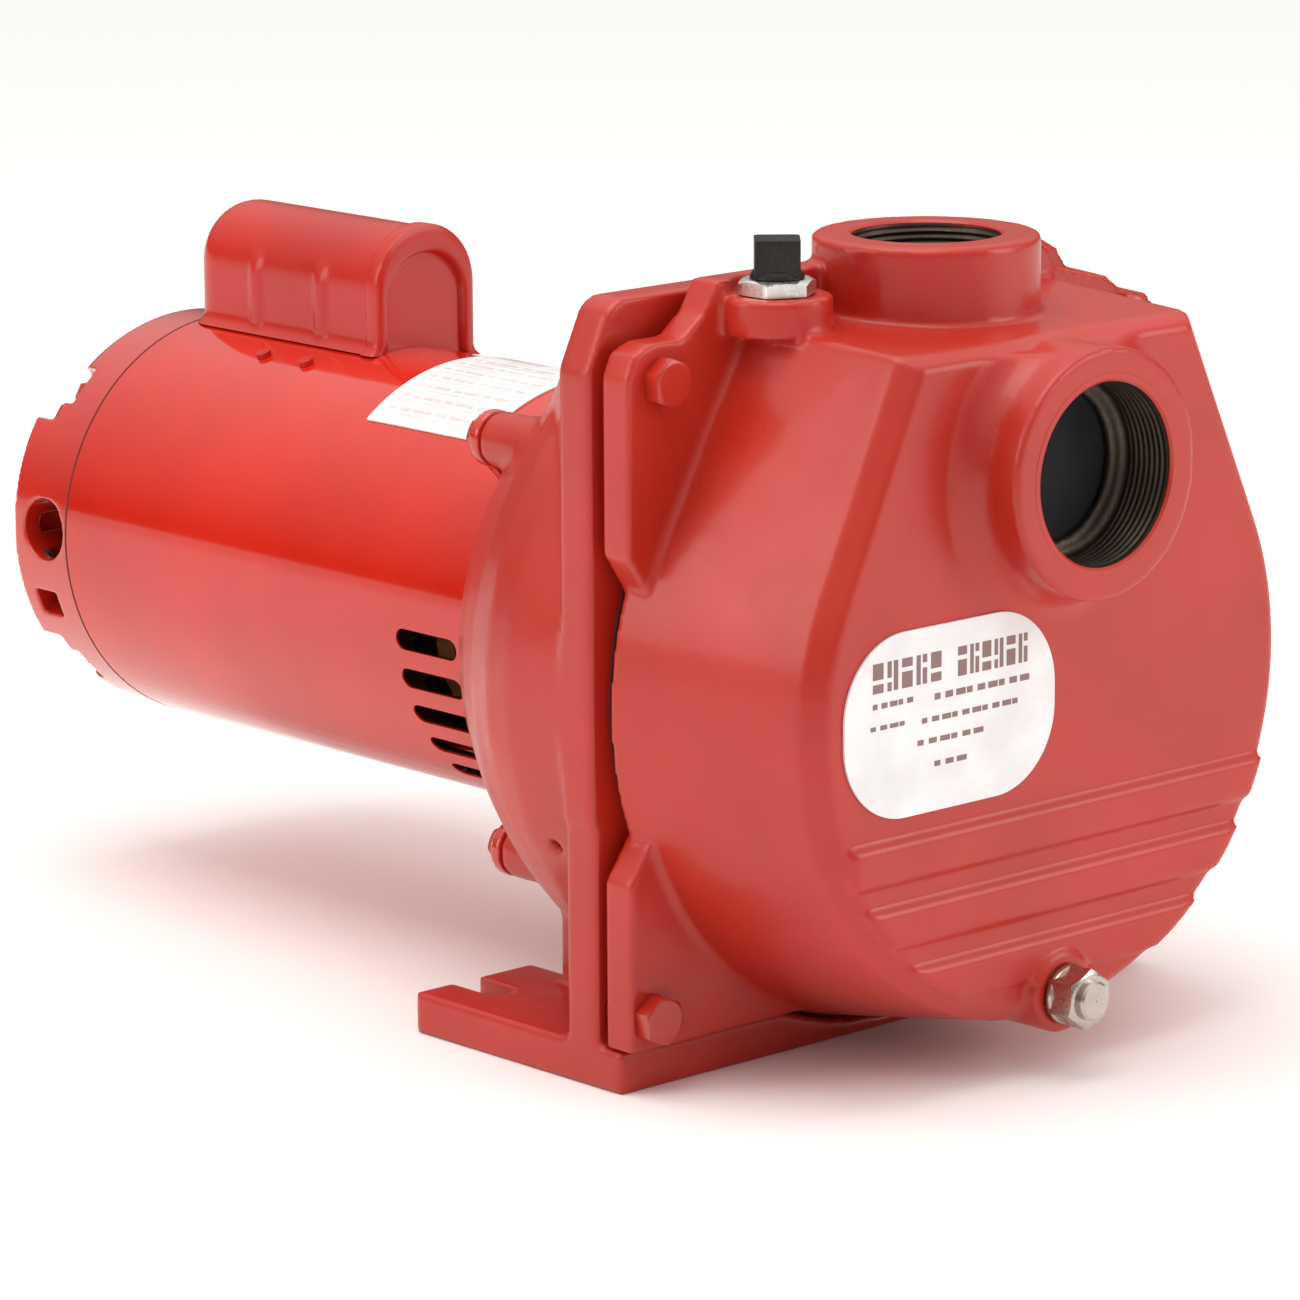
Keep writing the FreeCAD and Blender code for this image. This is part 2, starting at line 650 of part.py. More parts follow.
def spring(radius, wire, start, end, turns):
    """Round wire wound about the shaft axis."""
    length = end - start
    helix = Part.makeHelix(length / turns, length, radius)
    section = Part.Wire([Part.makeCircle(wire, Vector(radius, 0, 0), Vector(0, 1, 0))])
    made = add("Part::Feature", "coil")
    made.Shape = Part.Wire(helix.Edges).makePipeShell([section], True, True)
    made.Placement = FreeCAD.Placement(Vector(0, start, SIZE["axis_height"]), ALONG_Y)
    return made


def ports():
    knuckle = add("Part::Cylinder", "knuckle")
    knuckle.Placement.Rotation = FreeCAD.Rotation(Vector(0, 1, 0), 90)
    bind(knuckle, Radius="2.3", Height="18")
    place(knuckle, "-9", "2.4 - seat_depth", "suction_height + 27")
    bore = add("Part::Cylinder", "knuckle_bore")
    bore.Placement.Rotation = FreeCAD.Rotation(Vector(0, 1, 0), 90)
    bind(bore, Radius="1.55", Height="40")
    place(bore, "-20", "2.4 - seat_depth", "suction_height + 27")
    tab = box("-9", "9", "0.15 - seat_depth", "3 - seat_depth", "suction_height + 10", "suction_height + 26")
    disc = rod("seat_recess - 4", "0.15 - seat_depth", "3.4 - seat_depth", 0, "suction_height - 2")
    weight = rod("16", "3.4 - seat_depth", "6.4 - seat_depth", 0, "suction_height - 6")
    node("suction_flapper", cut(fuse(knuckle, tab, disc), bore))
    node("flapper_weight", weight)
    pin = add("Part::Cylinder", "pin")
    pin.Placement.Rotation = FreeCAD.Rotation(Vector(0, 1, 0), 90)
    bind(pin, Radius="1.5", Height="32")
    place(pin, "-16", "2.4 - seat_depth", "suction_height + 27")
    node("flapper_pin", pin)

    collar = add("Part::Prism", "collar")
    collar.Polygon = 6
    collar.Placement.Rotation = FreeCAD.Rotation(Vector(0, 0, 1), 18)
    bind(collar, Circumradius="22.2 / 1.732", Height="5")
    place(collar, "-priming_side", "-priming_back", "priming_top")
    neck = post("priming_thread - wall_gap", "priming_top - 10", "priming_top", "-priming_side",
                "-priming_back")
    bore = post("7.5", "priming_top - 15", "priming_top + 6", "-priming_side", "-priming_back")
    node("priming_bushing", cut(fuse(collar, neck), bore))
    head = box("-7.15", "7.15", "-7.15", "7.15", "priming_top + 6.5", "priming_top + 17.5")
    doc.recompute()
    turned_head = add("Part::Feature", "square_head")
    turned_head.Shape = head.Shape.copy()
    turned_head.Placement = FreeCAD.Placement(
        Vector(-SIZE["priming_side"], -SIZE["priming_back"], SIZE["priming_top"] + 6.5),
        FreeCAD.Rotation(Vector(0, 0, 1), -42)).multiply(
        FreeCAD.Placement(Vector(-7.15, -7.15, 0), FreeCAD.Rotation()))
    stem = post("7.4", "priming_top - 9.5", "priming_top + 6", "-priming_side", "-priming_back")
    skirt = post("8.6", "priming_top + 5.1", "priming_top + 7", "-priming_side", "-priming_back")
    node("priming_plug", fuse(turned_head, stem, skirt))
    node("drain_plug", fuse(hexagon("17.5", "-drain_face - 14", "-drain_face - 0.6", 0, "drain_height"),
                            rod("drain_thread - 0.1", "-drain_face - 0.6", "-casing_depth + 6", 0,
                                "drain_height")))


def labels():
    front = "-casing_depth - label_thick"
    long = box("-label_left + label_round", "-label_right - label_round", front, "-casing_depth - 0.05",
               "label_low", "label_high")
    tall = box("-label_left", "-label_right", front, "-casing_depth - 0.05", "label_low + label_round",
               "label_high - label_round")
    corners = [rod("label_round", front, "-casing_depth - 0.05", x, z)
               for x in ("-label_left + label_round", "-label_right - label_round")
               for z in ("label_low + label_round", "label_high - label_round")]
    node("pump_label_plate", fuse(long, tall, *corners))
    sector = wedge(75, 128, "136", "196")
    node("motor_nameplate", common(tube("shell_radius + wall_gap", "shell_radius + 0.6", "136", "196"),
                                   sector))


def wedge(start, end, y0, y1):
    """Part of a disc about the shaft axis between two angles from +X."""
    made = add("Part::Cylinder", "wedge")
    made.Placement.Rotation = ALONG_Y
    bind(made, Radius="shell_radius + 20", Height="(%s) - (%s)" % (y1, y0))
    made.Angle = end - start
    made.Placement.Rotation = FreeCAD.Rotation(Vector(0, 1, 0), -end).multiply(ALONG_Y)
    place(made, 0, y0, "axis_height")
    return made


# ---------------------------------------------------------------- motor
def vent_cutters():
    cutters = []
    for step in range(5):
        for angle in (-SIZE["vent_first"] - SIZE["vent_pitch"] * step,
                      -180 + SIZE["vent_first"] + SIZE["vent_pitch"] * step):
            slot = box("shell_radius - 12", "shell_radius + 5", "vent_front + 3",
                       "vent_front + vent_length - 3", "axis_height - vent_width / 2",
                       "axis_height + vent_width / 2")
            ends = []
            for y in ("vent_front + 3", "vent_front + vent_length - 3"):
                end = add("Part::Cylinder", "slot_end")
                end.Placement.Rotation = FreeCAD.Rotation(Vector(0, 1, 0), 90)
                bind(end, Radius="vent_width / 2", Height="17")
                place(end, "shell_radius - 12", y, "axis_height")
                ends.append(end)
            whole = fuse(slot, *ends)
            doc.recompute()
            cutters.append(around(whole, angle))
    return cutters


def toothed_stack():
    """Stator laminations with evenly spaced slots open to the bore."""
    body = add("PartDesign::Body", "laminations")
    sketch = new_sketch(body, "XZ_Plane")
    for index, radius in enumerate(("shell_radius - shell_wall - wall_gap", "stator_bore")):
        sketch.addGeometry(Part.Circle(Vector(0, 0, 0), Vector(0, 0, 1), 60 - 20 * index), False)
        sketch.addConstraint(Sketcher.Constraint("Coincident", index, 3, -1, 1))
        sketch.setExpression("Constraints[%d]" % sketch.addConstraint(
            Sketcher.Constraint("Radius", index, 60.0 - 20 * index)), bound(radius))
    pad = body.newObject("PartDesign::Pad", body.Name + "_pad")
    pad.Profile = sketch
    pad.Reversed = True
    bind(pad, Length="stack_length")
    slot = new_sketch(body, "XZ_Plane")
    polygon(slot, [("stator_bore - 2", "-1.5"), ("stator_bore + 2", "-1.5"), ("stator_bore + 4", "-2.6"),
                   ("stator_bore + 21", "-4.4"), ("stator_bore + 21", "4.4"), ("stator_bore + 4", "2.6"),
                   ("stator_bore + 2", "1.5"), ("stator_bore - 2", "1.5")])
    pocket = body.newObject("PartDesign::Pocket", body.Name + "_slot")
    pocket.Profile = slot
    pocket.Midplane = True
    bind(pocket, Length="stack_length * 3")
    pattern = body.newObject("PartDesign::PolarPattern", body.Name + "_slots")
    pattern.Originals = [pocket]
    pattern.Axis = (slot, ["N_Axis"])
    pattern.Angle = 360
    pattern.Occurrences = int(SIZE["slot_count"])
    body.Tip = pattern
    place(body, 0, "stack_front", "axis_height")
    return body


def bearing(name, inner, outer, start, width, ball):
    """Deep-groove ball bearing in three pieces; ball is the ball's radius."""
    middle = (inner + outer) / 2
    low, high = str(start), str(start + width)
    node(name + "_bearing_outer_race", tube(str(middle + ball + 0.1), str(outer), low, high))
    node(name + "_bearing_inner_race", tube(str(inner + 0.03), str(middle - ball - 0.1), low, high))
    balls = []
    for step in range(8):
        x, z = at_angle(middle, 45 * step)
        sphere = add("Part::Sphere", "ball")
        bind(sphere, Radius=str(ball))
        place(sphere, x, str(start + width / 2), z)
        balls.append(sphere)
    node(name + "_bearing_balls", group(*balls))


def motor_stator():
    shell = tube("shell_radius - shell_wall", "shell_radius", "shell_front", "shell_back")
    node("motor_shell", cut(shell, *vent_cutters()))
    rod_holes = [rod("2.6", "stack_front - 1", "stack_front + stack_length + 1", *at_angle(66, angle))
                 for angle in RODS]
    node("stator_core", cut(toothed_stack(), *rod_holes))
    back = "stack_front + stack_length"
    front_turns = turned([("44", "stack_front - 16"), ("55", "stack_front - 16"), ("58", "stack_front - 11"),
                          ("57", "stack_front - 0.2"), ("45", "stack_front - 0.2")])
    rear_turns = turned([("45", back + " + 0.2"), ("57", back + " + 0.2"), ("58", back + " + 11"),
                         ("55", back + " + 16"), ("44", back + " + 16")])
    bar = box("44", "58", "stack_front - 1", back + " + 1", "axis_height - 2.1", "axis_height + 2.1")
    doc.recompute()
    bars = [around(bar, 360 / SIZE["slot_count"] * step) for step in range(int(SIZE["slot_count"]))]
    node("stator_windings", fuse(front_turns, rear_turns, *bars))

    seat = "front_race + wall_gap"
    bell = turned([(seat, "front_race_start - 0.5"), ("bell_mouth", "bell_end + 0.1"),
                   ("bell_mouth", "shell_front - 0.1"), ("shell_radius - shell_wall - 0.1",
                                                        "shell_front - 0.1"),
                   ("shell_radius - shell_wall - 0.1", "shell_front + 6"), ("66", "shell_front + 6"),
                   ("64", "shell_front + 1"), ("27", "shell_front + 1"), ("26", "front_race_start + 12.5"),
                   (seat, "front_race_start + 12.5")])
    ear = fuse(rod("ear_radius", "bell_end + 0.1", "bell_end + 4.95", "ear_circle"),
               box("bell_mouth - 6", "ear_circle", "bell_end + 0.1", "bell_end + 4.95",
                   "axis_height - 8", "axis_height + 8"))
    doc.recompute()
    ears = [around(ear, angle) for angle in EARS]
    holes = [rod("4", "bell_end - 5", "shell_front + 5", *at_angle(SIZE["ear_circle"], angle))
             for angle in EARS]
    holes += [rod("2.4", "bell_end - 5", "shell_front + 9", *at_angle(66, angle)) for angle in RODS]
    node("front_end_bell", cut(fuse(bell, *ears), *holes))
    bearing("front", 8.5, 20.0, SIZE["front_race_start"], SIZE["front_race_width"], 3.2)
    bearing("rear", 7.5, 17.5, SIZE["rear_race_start"], SIZE["rear_race_width"], 2.5)
    node("wave_washer", tube("13", "17.3", "rear_race_start + rear_race_width + 0.1",
                             "rear_race_start + rear_race_width + 1.4"))


def rear_end():
    seat = "rear_race + wall_gap"
    outer = "shell_radius - 0.6"
    ring = turned([(outer + " - 5", "shell_back + 0.05"), (outer, "shell_back + 0.05"),
                   (outer, "bell_back - 5"), (outer + " - 1.5", "bell_back - 1.5"),
                   (outer + " - 5", "bell_back"), ("40", "bell_back"), ("40", "bell_back - 4"),
                   (outer + " - 5", "bell_back - 4")])
    spigot = tube("shell_radius - shell_wall - 4", "shell_radius - shell_wall - 0.1", "shell_back - 6",
                  "shell_back + 0.5")
    hub = tube(seat, "rear_race + 5", "rear_race_start - 1", "bell_back - 8")
    arms = [box("rear_race + 3", "shell_radius - 5", "shell_back + 3", "shell_back + 9", "axis_height - 6",
                "axis_height + 6")]
    doc.recompute()
    arms = [around(arms[0], angle) for angle in (0, 90, 180, 270)]
    lobe = common(tube("shell_radius - 8", outer, "bell_back - 6", "box_back"), wedge(147, 213, "340", "370"))
    lid = common(tube("50.5", outer + " - 1", "box_back - 3", "box_back"), wedge(147, 213, "340", "370"))
    pockets = [rod("8.5", "bell_back - 9", "box_back + 1", *at_angle(69, angle)) for angle in RODS]
    bolt_holes = [rod("2.4", "shell_back - 7", "bell_back", *at_angle(66, angle)) for angle in RODS]
    conduit = add("Part::Cylinder", "conduit")
    conduit.Placement.Rotation = FreeCAD.Rotation(Vector(0, 1, 0), -90)
    bind(conduit, Radius="conduit_radius", Height="25")
    place(conduit, "-shell_radius + 20", "conduit_back", "axis_height + 2")
    vent = box("-5", "5", "shell_back + 12", "shell_back + 24", "0", "14")
    posts = [rod("6", "shell_back + 0.5", "bell_back - 9.1", *at_angle(66, angle)) for angle in RODS]
    body = fuse(ring, spigot, hub, *arms, *posts)
    doc.recompute()
    slots = [around(moved(vent, 0, 0, SIZE["axis_height"] + 64), angle) for angle in (-249, -111)]
    screw_holes = [rod("2", "bell_back - 5", "bell_back + 3", *at_angle(44, angle))
                   for angle in (0, 120, 240)]
    node("rear_end_bell", cut(fuse(body, lobe, lid), *pockets, *bolt_holes, *screw_holes, conduit, *slots))
    cover = turned([("0", "bell_back + 0.1"), ("49.5", "bell_back + 0.1"), ("49.5", "bell_back + 2"),
                    ("38", "bell_back + 2"), ("34", "bell_back + 5"), ("14", "cover_back"),
                    ("0", "cover_back")])
    node("rear_cover", cut(cover, *screw_holes))
    node("rear_cover_screws", group(*[
        fuse(hexagon("7", "bell_back + 2.05", "bell_back + 5", *at_angle(44, angle)),
             rod("1.9", "bell_back - 3", "bell_back + 2.05", *at_angle(44, angle)))
        for angle in (0, 120, 240)]))


def moved(thing, x, y, z):
    """Copy of a finished piece, moved."""
    made = add("Part::Feature", "moved_copy")
    made.Shape = thing.Shape.copy()
    made.Placement = FreeCAD.Placement(Vector(x, y, z), FreeCAD.Rotation()).multiply(thing.Placement)
    return made


def motor_rotor():
    back = "stack_front + stack_length"
    node("shaft", turned([("0", "-53"), ("shaft_stud", "-53"), ("shaft_stud", "-25"), ("shaft_pump", "-25"),
                          ("shaft_pump", "95"), ("shaft_front_seat", "95"), ("shaft_front_seat", "128"),
                          ("shaft_rotor", "128"), ("shaft_rotor", "325"), ("shaft_rear_seat", "325"),
                          ("shaft_rear_seat", "348"), ("0", "348")]))
    node("rotor_core", tube("shaft_rotor + wall_gap", "rotor_radius", "stack_front", back))
    rings = [tube("26", "rotor_radius - 1", "stack_front - 8", "stack_front - 0.1"),
             tube("26", "rotor_radius - 1", back + " + 0.1", back + " + 8")]
    fins = []
    fin = box("27", "rotor_radius - 2", "stack_front - 15", "stack_front - 7", "axis_height - 1.2",
              "axis_height + 1.2")
    rear_fin = box("27", "rotor_radius - 2", back + " + 7", back + " + 15", "axis_height - 1.2",
                   "axis_height + 1.2")
    doc.recompute()
    for step in range(8):
        fins += [around(fin, 45 * step), around(rear_fin, 45 * step)]
    node("rotor_end_rings", group(fuse(rings[0], *fins[0::2]), fuse(rings[1], *fins[1::2])))
    node("governor", fuse(tube("shaft_rotor + wall_gap", "16", "262", "278"),
                          tube("15", "30", "262", "265")))
    node("governor_collar", tube("shaft_rotor + 0.15", "22", "281", "289"))


def motor_electrics():
    node("centrifugal_switch", cut(box("-12", "12", "294", "306", "axis_height + 26", "axis_height + 44"),
                                   rod("3", "293", "307", "0", "axis_height + 35")))
    node("terminal_board", box("-64", "-61", "shell_back - 24", "shell_back - 2", "axis_height - 22",
                               "axis_height + 22"))
    shell = rod("shell_radius + 0.1", "can_front - 10", "can_back + 10")
    outer = fuse(rod("can_half", "can_front", "can_back", "can_side", "can_spring"),
                 box("can_side - can_half", "can_side + can_half", "can_front", "can_back",
                     "axis_height + 55", "can_spring"))
    rim = fuse(rod("can_half + 1", "can_front + 1", "can_front + 7", "can_side", "can_spring"),
               box("can_side - can_half - 1", "can_side + can_half + 1", "can_front + 1", "can_front + 7",
                   "axis_height + 55", "can_spring"))
    inner = fuse(rod("can_half - can_wall", "can_front + can_wall", "can_back - can_wall", "can_side",
                     "can_spring"),
                 box("can_side - can_half + can_wall", "can_side + can_half - can_wall",
                     "can_front + can_wall", "can_back - can_wall", "axis_height + 50", "can_spring"))
    bosses = [box("can_side - can_half - 1.2", "can_side - can_half + 0.5", y, y + 5,
                  "can_spring - 14", "can_spring + 6") for y in (262, 298)]
    node("capacitor_cover", cut(fuse(outer, rim, *bosses), inner, shell))
    node("capacitor", rod("17.5", "can_front + 9", "can_back - 9", "can_side", "can_spring - 0.5"))
    screws = []
    for y in ("can_front + 23.5", "can_front + 46.8"):
        screw = add("Part::Cylinder", "cover_screw")
        screw.Placement.Rotation = FreeCAD.Rotation(Vector(0, 1, 0), 90)
        bind(screw, Radius="2.6", Height="1.8")
        place(screw, "shell_radius + 0.05", y, "axis_height")
        doc.recompute()
        screws.append(around(screw, 111.5))
    node("capacitor_cover_screws", group(*screws))
    node("ground_screw", hex_bolt(-54, "axis_height + 30", "shell_back - 9", "shell_back - 6.2",
                                  "shell_back - 2", "1.8", "6"))


# ---------------------------------------------------------------- assemble, check, write
_, cavity_space = pump_casing()
casing_gasket(cavity_space)
motor_adapter()
fasteners()
wet_end()
ports()
labels()
motor_stator()
rear_end()
motor_rotor()
motor_electrics()
doc.recompute()

for thing in doc.Objects:
    if "Invalid" in thing.State or "Error" in thing.State:
        raise RuntimeError("%s (%s) failed: %s" % (thing.Name, thing.Label, thing.State))
for thing in NODES:
    if thing.Shape.isNull() or not thing.Shape.isValid():
        raise RuntimeError("%s has no valid shape" % thing.Label)

os.makedirs("parts", exist_ok=True)
for thing in NODES:
    thing.Shape.exportStep(os.path.join("parts", thing.Label + ".step"))
    span = thing.Shape.BoundBox
    print("%-26s %2d solid(s) %9.1f cm3  x %.1f..%.1f  y %.1f..%.1f  z %.1f..%.1f" % (
        thing.Label, len(thing.Shape.Solids), thing.Shape.Volume / 1000,
        span.XMin, span.XMax, span.YMin, span.YMax, span.ZMin, span.ZMax))
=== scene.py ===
"""Looks of the self-priming sprinkler pump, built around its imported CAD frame.  Metres, +Z up."""

import json
import math

import bmesh
import bpy
from mathutils import Matrix, Vector


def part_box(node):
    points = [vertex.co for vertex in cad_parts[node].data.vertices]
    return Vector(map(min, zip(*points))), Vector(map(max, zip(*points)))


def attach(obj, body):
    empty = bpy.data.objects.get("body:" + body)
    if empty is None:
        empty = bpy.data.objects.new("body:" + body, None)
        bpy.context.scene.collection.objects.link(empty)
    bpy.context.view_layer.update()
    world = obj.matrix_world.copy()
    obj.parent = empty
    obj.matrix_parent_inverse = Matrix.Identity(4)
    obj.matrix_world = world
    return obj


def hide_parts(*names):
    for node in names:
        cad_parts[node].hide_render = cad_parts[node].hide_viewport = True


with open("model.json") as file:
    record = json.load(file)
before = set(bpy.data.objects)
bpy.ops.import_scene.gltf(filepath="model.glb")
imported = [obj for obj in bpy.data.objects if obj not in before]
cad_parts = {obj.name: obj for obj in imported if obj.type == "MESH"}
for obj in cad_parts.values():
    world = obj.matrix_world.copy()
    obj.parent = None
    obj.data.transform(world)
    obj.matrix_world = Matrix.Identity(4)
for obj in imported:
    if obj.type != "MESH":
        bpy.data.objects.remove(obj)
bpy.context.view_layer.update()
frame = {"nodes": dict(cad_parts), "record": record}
NODES = frame["nodes"]
MM = 0.001
AXIS = 0.0002                      # innermost ring of a solid turned piece

# ---------------------------------------------------------------- places, from the frame
SHAFT_HEIGHT = (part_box("motor_shell")[0].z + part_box("motor_shell")[1].z) / 2
SHELL_RADIUS = (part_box("motor_shell")[1].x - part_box("motor_shell")[0].x) / 2
MOUNTS = {mount["name"]: mount for mount in frame["record"]["mounts"]}


def mount_radius(name):
    return MOUNTS[name]["dims"]["r_mm"] * MM


def mount_place(name):
    return Vector(MOUNTS[name]["pos_m"])


# ---------------------------------------------------------------- materials
def set_range(node, low, high, bottom, top):
    """Fill in a Map Range node: low..high becomes bottom..top."""
    for socket, value in (("From Min", low), ("From Max", high), ("To Min", bottom), ("To Max", top)):
        node.inputs[socket].default_value = value


class Shader:
    """A Principled material with short helpers for its procedural nodes."""

    def __init__(self, name, **sockets):
        self.material = bpy.data.materials.new(name)
        self.material.use_nodes = True
        self.tree = self.material.node_tree
        self.surface = self.tree.nodes["Principled BSDF"]
        for socket, value in sockets.items():
            self.surface.inputs[socket.replace("_", " ")].default_value = value
        self.place = self.tree.nodes.new("ShaderNodeTexCoord").outputs["Object"]

    def node(self, kind, **inputs):
        made = self.tree.nodes.new(kind)
        for socket, value in inputs.items():
            made.inputs[socket.replace("_", " ")].default_value = value
        return made

    def link(self, source, target):
        self.tree.links.new(source, target)

    def stretched(self, scale):
        mapping = self.node("ShaderNodeMapping", Scale=scale)
        self.link(self.place, mapping.inputs["Vector"])
        return mapping.outputs["Vector"]

    def noise(self, scale, detail=3.0, rough=0.5, place=None):
        made = self.node("ShaderNodeTexNoise", Scale=scale, Detail=detail, Roughness=rough)
        self.link(place or self.place, made.inputs["Vector"])
        return made.outputs["Fac"]

    def ramp(self, source, low, high, bottom=0.0, top=1.0):
        made = self.node("ShaderNodeMapRange")
        set_range(made, low, high, bottom, top)
        self.link(source, made.inputs["Value"])
        return made.outputs["Result"]

    def blend(self, factor, first, second):
        made = self.tree.nodes.new("ShaderNodeMix")
        made.data_type = "RGBA"
        made.inputs[6].default_value = (*first, 1)
        made.inputs[7].default_value = (*second, 1)
        self.link(factor, made.inputs["Factor"])
        return made.outputs[2]

    def colour(self, source):
        self.link(source, self.surface.inputs["Base Color"])

    def roughness(self, source):
        self.link(source, self.surface.inputs["Roughness"])

    def bump(self, source, strength, distance):
        made = self.node("ShaderNodeBump", Strength=strength, Distance=distance)
        self.link(source, made.inputs["Height"])
        previous = self.surface.inputs["Normal"]
        if previous.is_linked:
            self.link(previous.links[0].from_socket, made.inputs["Normal"])
        self.link(made.outputs["Normal"], previous)


def scaled(colour, factor):
    return tuple(min(1.0, channel * factor) for channel in colour)


def paint(name, colour, rough, grain, grain_size, coat, gloss, painted_shade_radius=0.0):
    """Enamel: slow shade variation, fine film texture and patches of a duller gloss.

    Anything nearer the shaft than the given radius is painted near-black, as painted shade inside the
    shell.
    """
    shader = Shader(name, Metallic=0.0, Coat_Weight=coat, Coat_Roughness=gloss, IOR=1.45)
    slow = shader.noise(14.0, 4.0)
    shade = shader.blend(shader.ramp(slow, 0.35, 0.65), scaled(colour, 0.9), scaled(colour, 1.08))
    if painted_shade_radius:
        spot = shader.node("ShaderNodeVectorMath")
        spot.operation = "SUBTRACT"
        spot.inputs[1].default_value = (0, 0, SHAFT_HEIGHT)
        shader.link(shader.place, spot.inputs[0])
        flat = shader.node("ShaderNodeVectorMath")
        flat.operation = "MULTIPLY"
        flat.inputs[1].default_value = (1, 0, 1)
        shader.link(spot.outputs["Vector"], flat.inputs[0])
        reach = shader.node("ShaderNodeVectorMath")
        reach.operation = "LENGTH"
        shader.link(flat.outputs["Vector"], reach.inputs[0])
        beyond_painted_shade = shader.ramp(reach.outputs["Value"], painted_shade_radius - 0.0002, painted_shade_radius)
        mix = shader.node("ShaderNodeMix")
        mix.data_type = "RGBA"
        # near-black painted shade for the inside of the shell
        mix.inputs[6].default_value = (0.012, 0.009, 0.008, 1)
        shader.link(shade, mix.inputs[7])
        shader.link(beyond_painted_shade, mix.inputs["Factor"])
        shade = mix.outputs[2]
    shader.colour(shade)
    patches = shader.noise(46.0, 5.0, 0.6)
    shader.roughness(shader.ramp(patches, 0.3, 0.7, rough * 0.85, rough * 1.2))
    shader.bump(shader.noise(grain_size, 4.0, 0.6), grain, 0.0006)
    shader.bump(shader.noise(grain_size * 0.16, 2.0), grain * 0.7, 0.0012)
    return shader.material


def metal(name, colour, rough, scratch=0.12, along=(1.0, 1.0, 1.0)):
    """Bare or plated metal with fine machining marks."""
    shader = Shader(name, Metallic=1.0)
    marks = shader.noise(900.0, 3.0, 0.6, shader.stretched(along))
    stain = shader.noise(90.0, 4.0)
    shader.colour(shader.blend(shader.ramp(stain, 0.35, 0.7), scaled(colour, 0.82), colour))
    shader.roughness(shader.ramp(marks, 0.3, 0.7, rough * 0.75, rough * 1.3))
    shader.bump(marks, scratch, 0.0002)
    return shader.material


def matte(name, colour, rough, grain=0.15, size=500.0):
    """Rubber, moulded plastic, fibre or ceramic."""
    shader = Shader(name, Metallic=0.0)
    slow = shader.noise(60.0, 4.0)
    shader.colour(shader.blend(slow, scaled(colour, 0.8), scaled(colour, 1.2)))
    shader.roughness(shader.ramp(slow, 0.3, 0.7, rough * 0.9, min(1.0, rough * 1.1)))
    shader.bump(shader.noise(size, 3.0), grain, 0.0003)
    return shader.material


CAST_RED = (0.47, 0.02, 0.008)
MOTOR_RED = (0.58, 0.017, 0.006)
MATERIALS = {
    "casting": paint("cast_iron_enamel", CAST_RED, 0.38, 0.14, 620.0, 0.25, 0.15),
    "motor": paint("motor_gloss_enamel", MOTOR_RED, 0.12, 0.02, 300.0, 0.5, 0.03),
    # last argument: inside this radius the shell is painted near-black, as painted shade
    "shell": paint("motor_shell_enamel", MOTOR_RED, 0.1, 0.02, 300.0, 0.45, 0.03,
                   SHELL_RADIUS - 0.0006),
    # darker copy of the motor red: painted shade on the cover's sides
    "cover": paint("cover_enamel", scaled(MOTOR_RED, 0.85), 0.3, 0.03, 400.0, 0.2, 0.1),
    "bolt": paint("bolt_enamel", scaled(CAST_RED, 0.95), 0.34, 0.08, 500.0, 0.6, 0.2),
    "alloy": paint("end_bell_enamel", scaled(MOTOR_RED, 0.94), 0.22, 0.06, 500.0, 0.9, 0.1),
    "zinc": metal("bright_zinc", (0.88, 0.87, 0.84), 0.32),
    "plug_zinc": metal("dull_zinc", (0.55, 0.49, 0.44), 0.26),
    "iron": metal("dark_iron", (0.045, 0.043, 0.042), 0.5, 0.3),
    # dark machined metal: partly its own colour, partly painted shade inside the ports
    "bore": metal("machined_bore", (0.11, 0.085, 0.07), 0.5, 0.2),
    "steel": metal("ground_steel", (0.56, 0.56, 0.58), 0.28, 0.1, (1.0, 6.0, 1.0)),
    "stack": metal("laminations", (0.16, 0.16, 0.17), 0.5, 0.5, (0.05, 9.0, 0.05)),
    "rotor": metal("cast_aluminium", (0.74, 0.75, 0.77), 0.4),
    "copper": metal("varnished_copper", (0.11, 0.04, 0.018), 0.45, 0.4, (1.0, 0.2, 1.0)),
    "rubber": matte("nitrile_rubber", (0.012, 0.012, 0.013), 0.85),
    "plastic": matte("moulded_plastic", (0.045, 0.045, 0.05), 0.45),
    "ceramic": matte("ground_ceramic", (0.78, 0.77, 0.72), 0.3, 0.03),
    # painted-over gasket, darkened to a deep red-brown as painted shade in the flange groove; also the
    # shadow line at the shell seam
    "fibre": matte("gasket_fibre", (0.10, 0.016, 0.012), 0.9, 0.4, 900.0),
    "label": matte("label_foil", (0.86, 0.83, 0.86), 0.35, 0.02, 200.0),
    "faint": matte("faded_print", (0.70, 0.60, 0.60), 0.5, 0.02, 200.0),
    "print": matte("label_print", (0.26, 0.15, 0.14), 0.5, 0.02, 200.0),
}

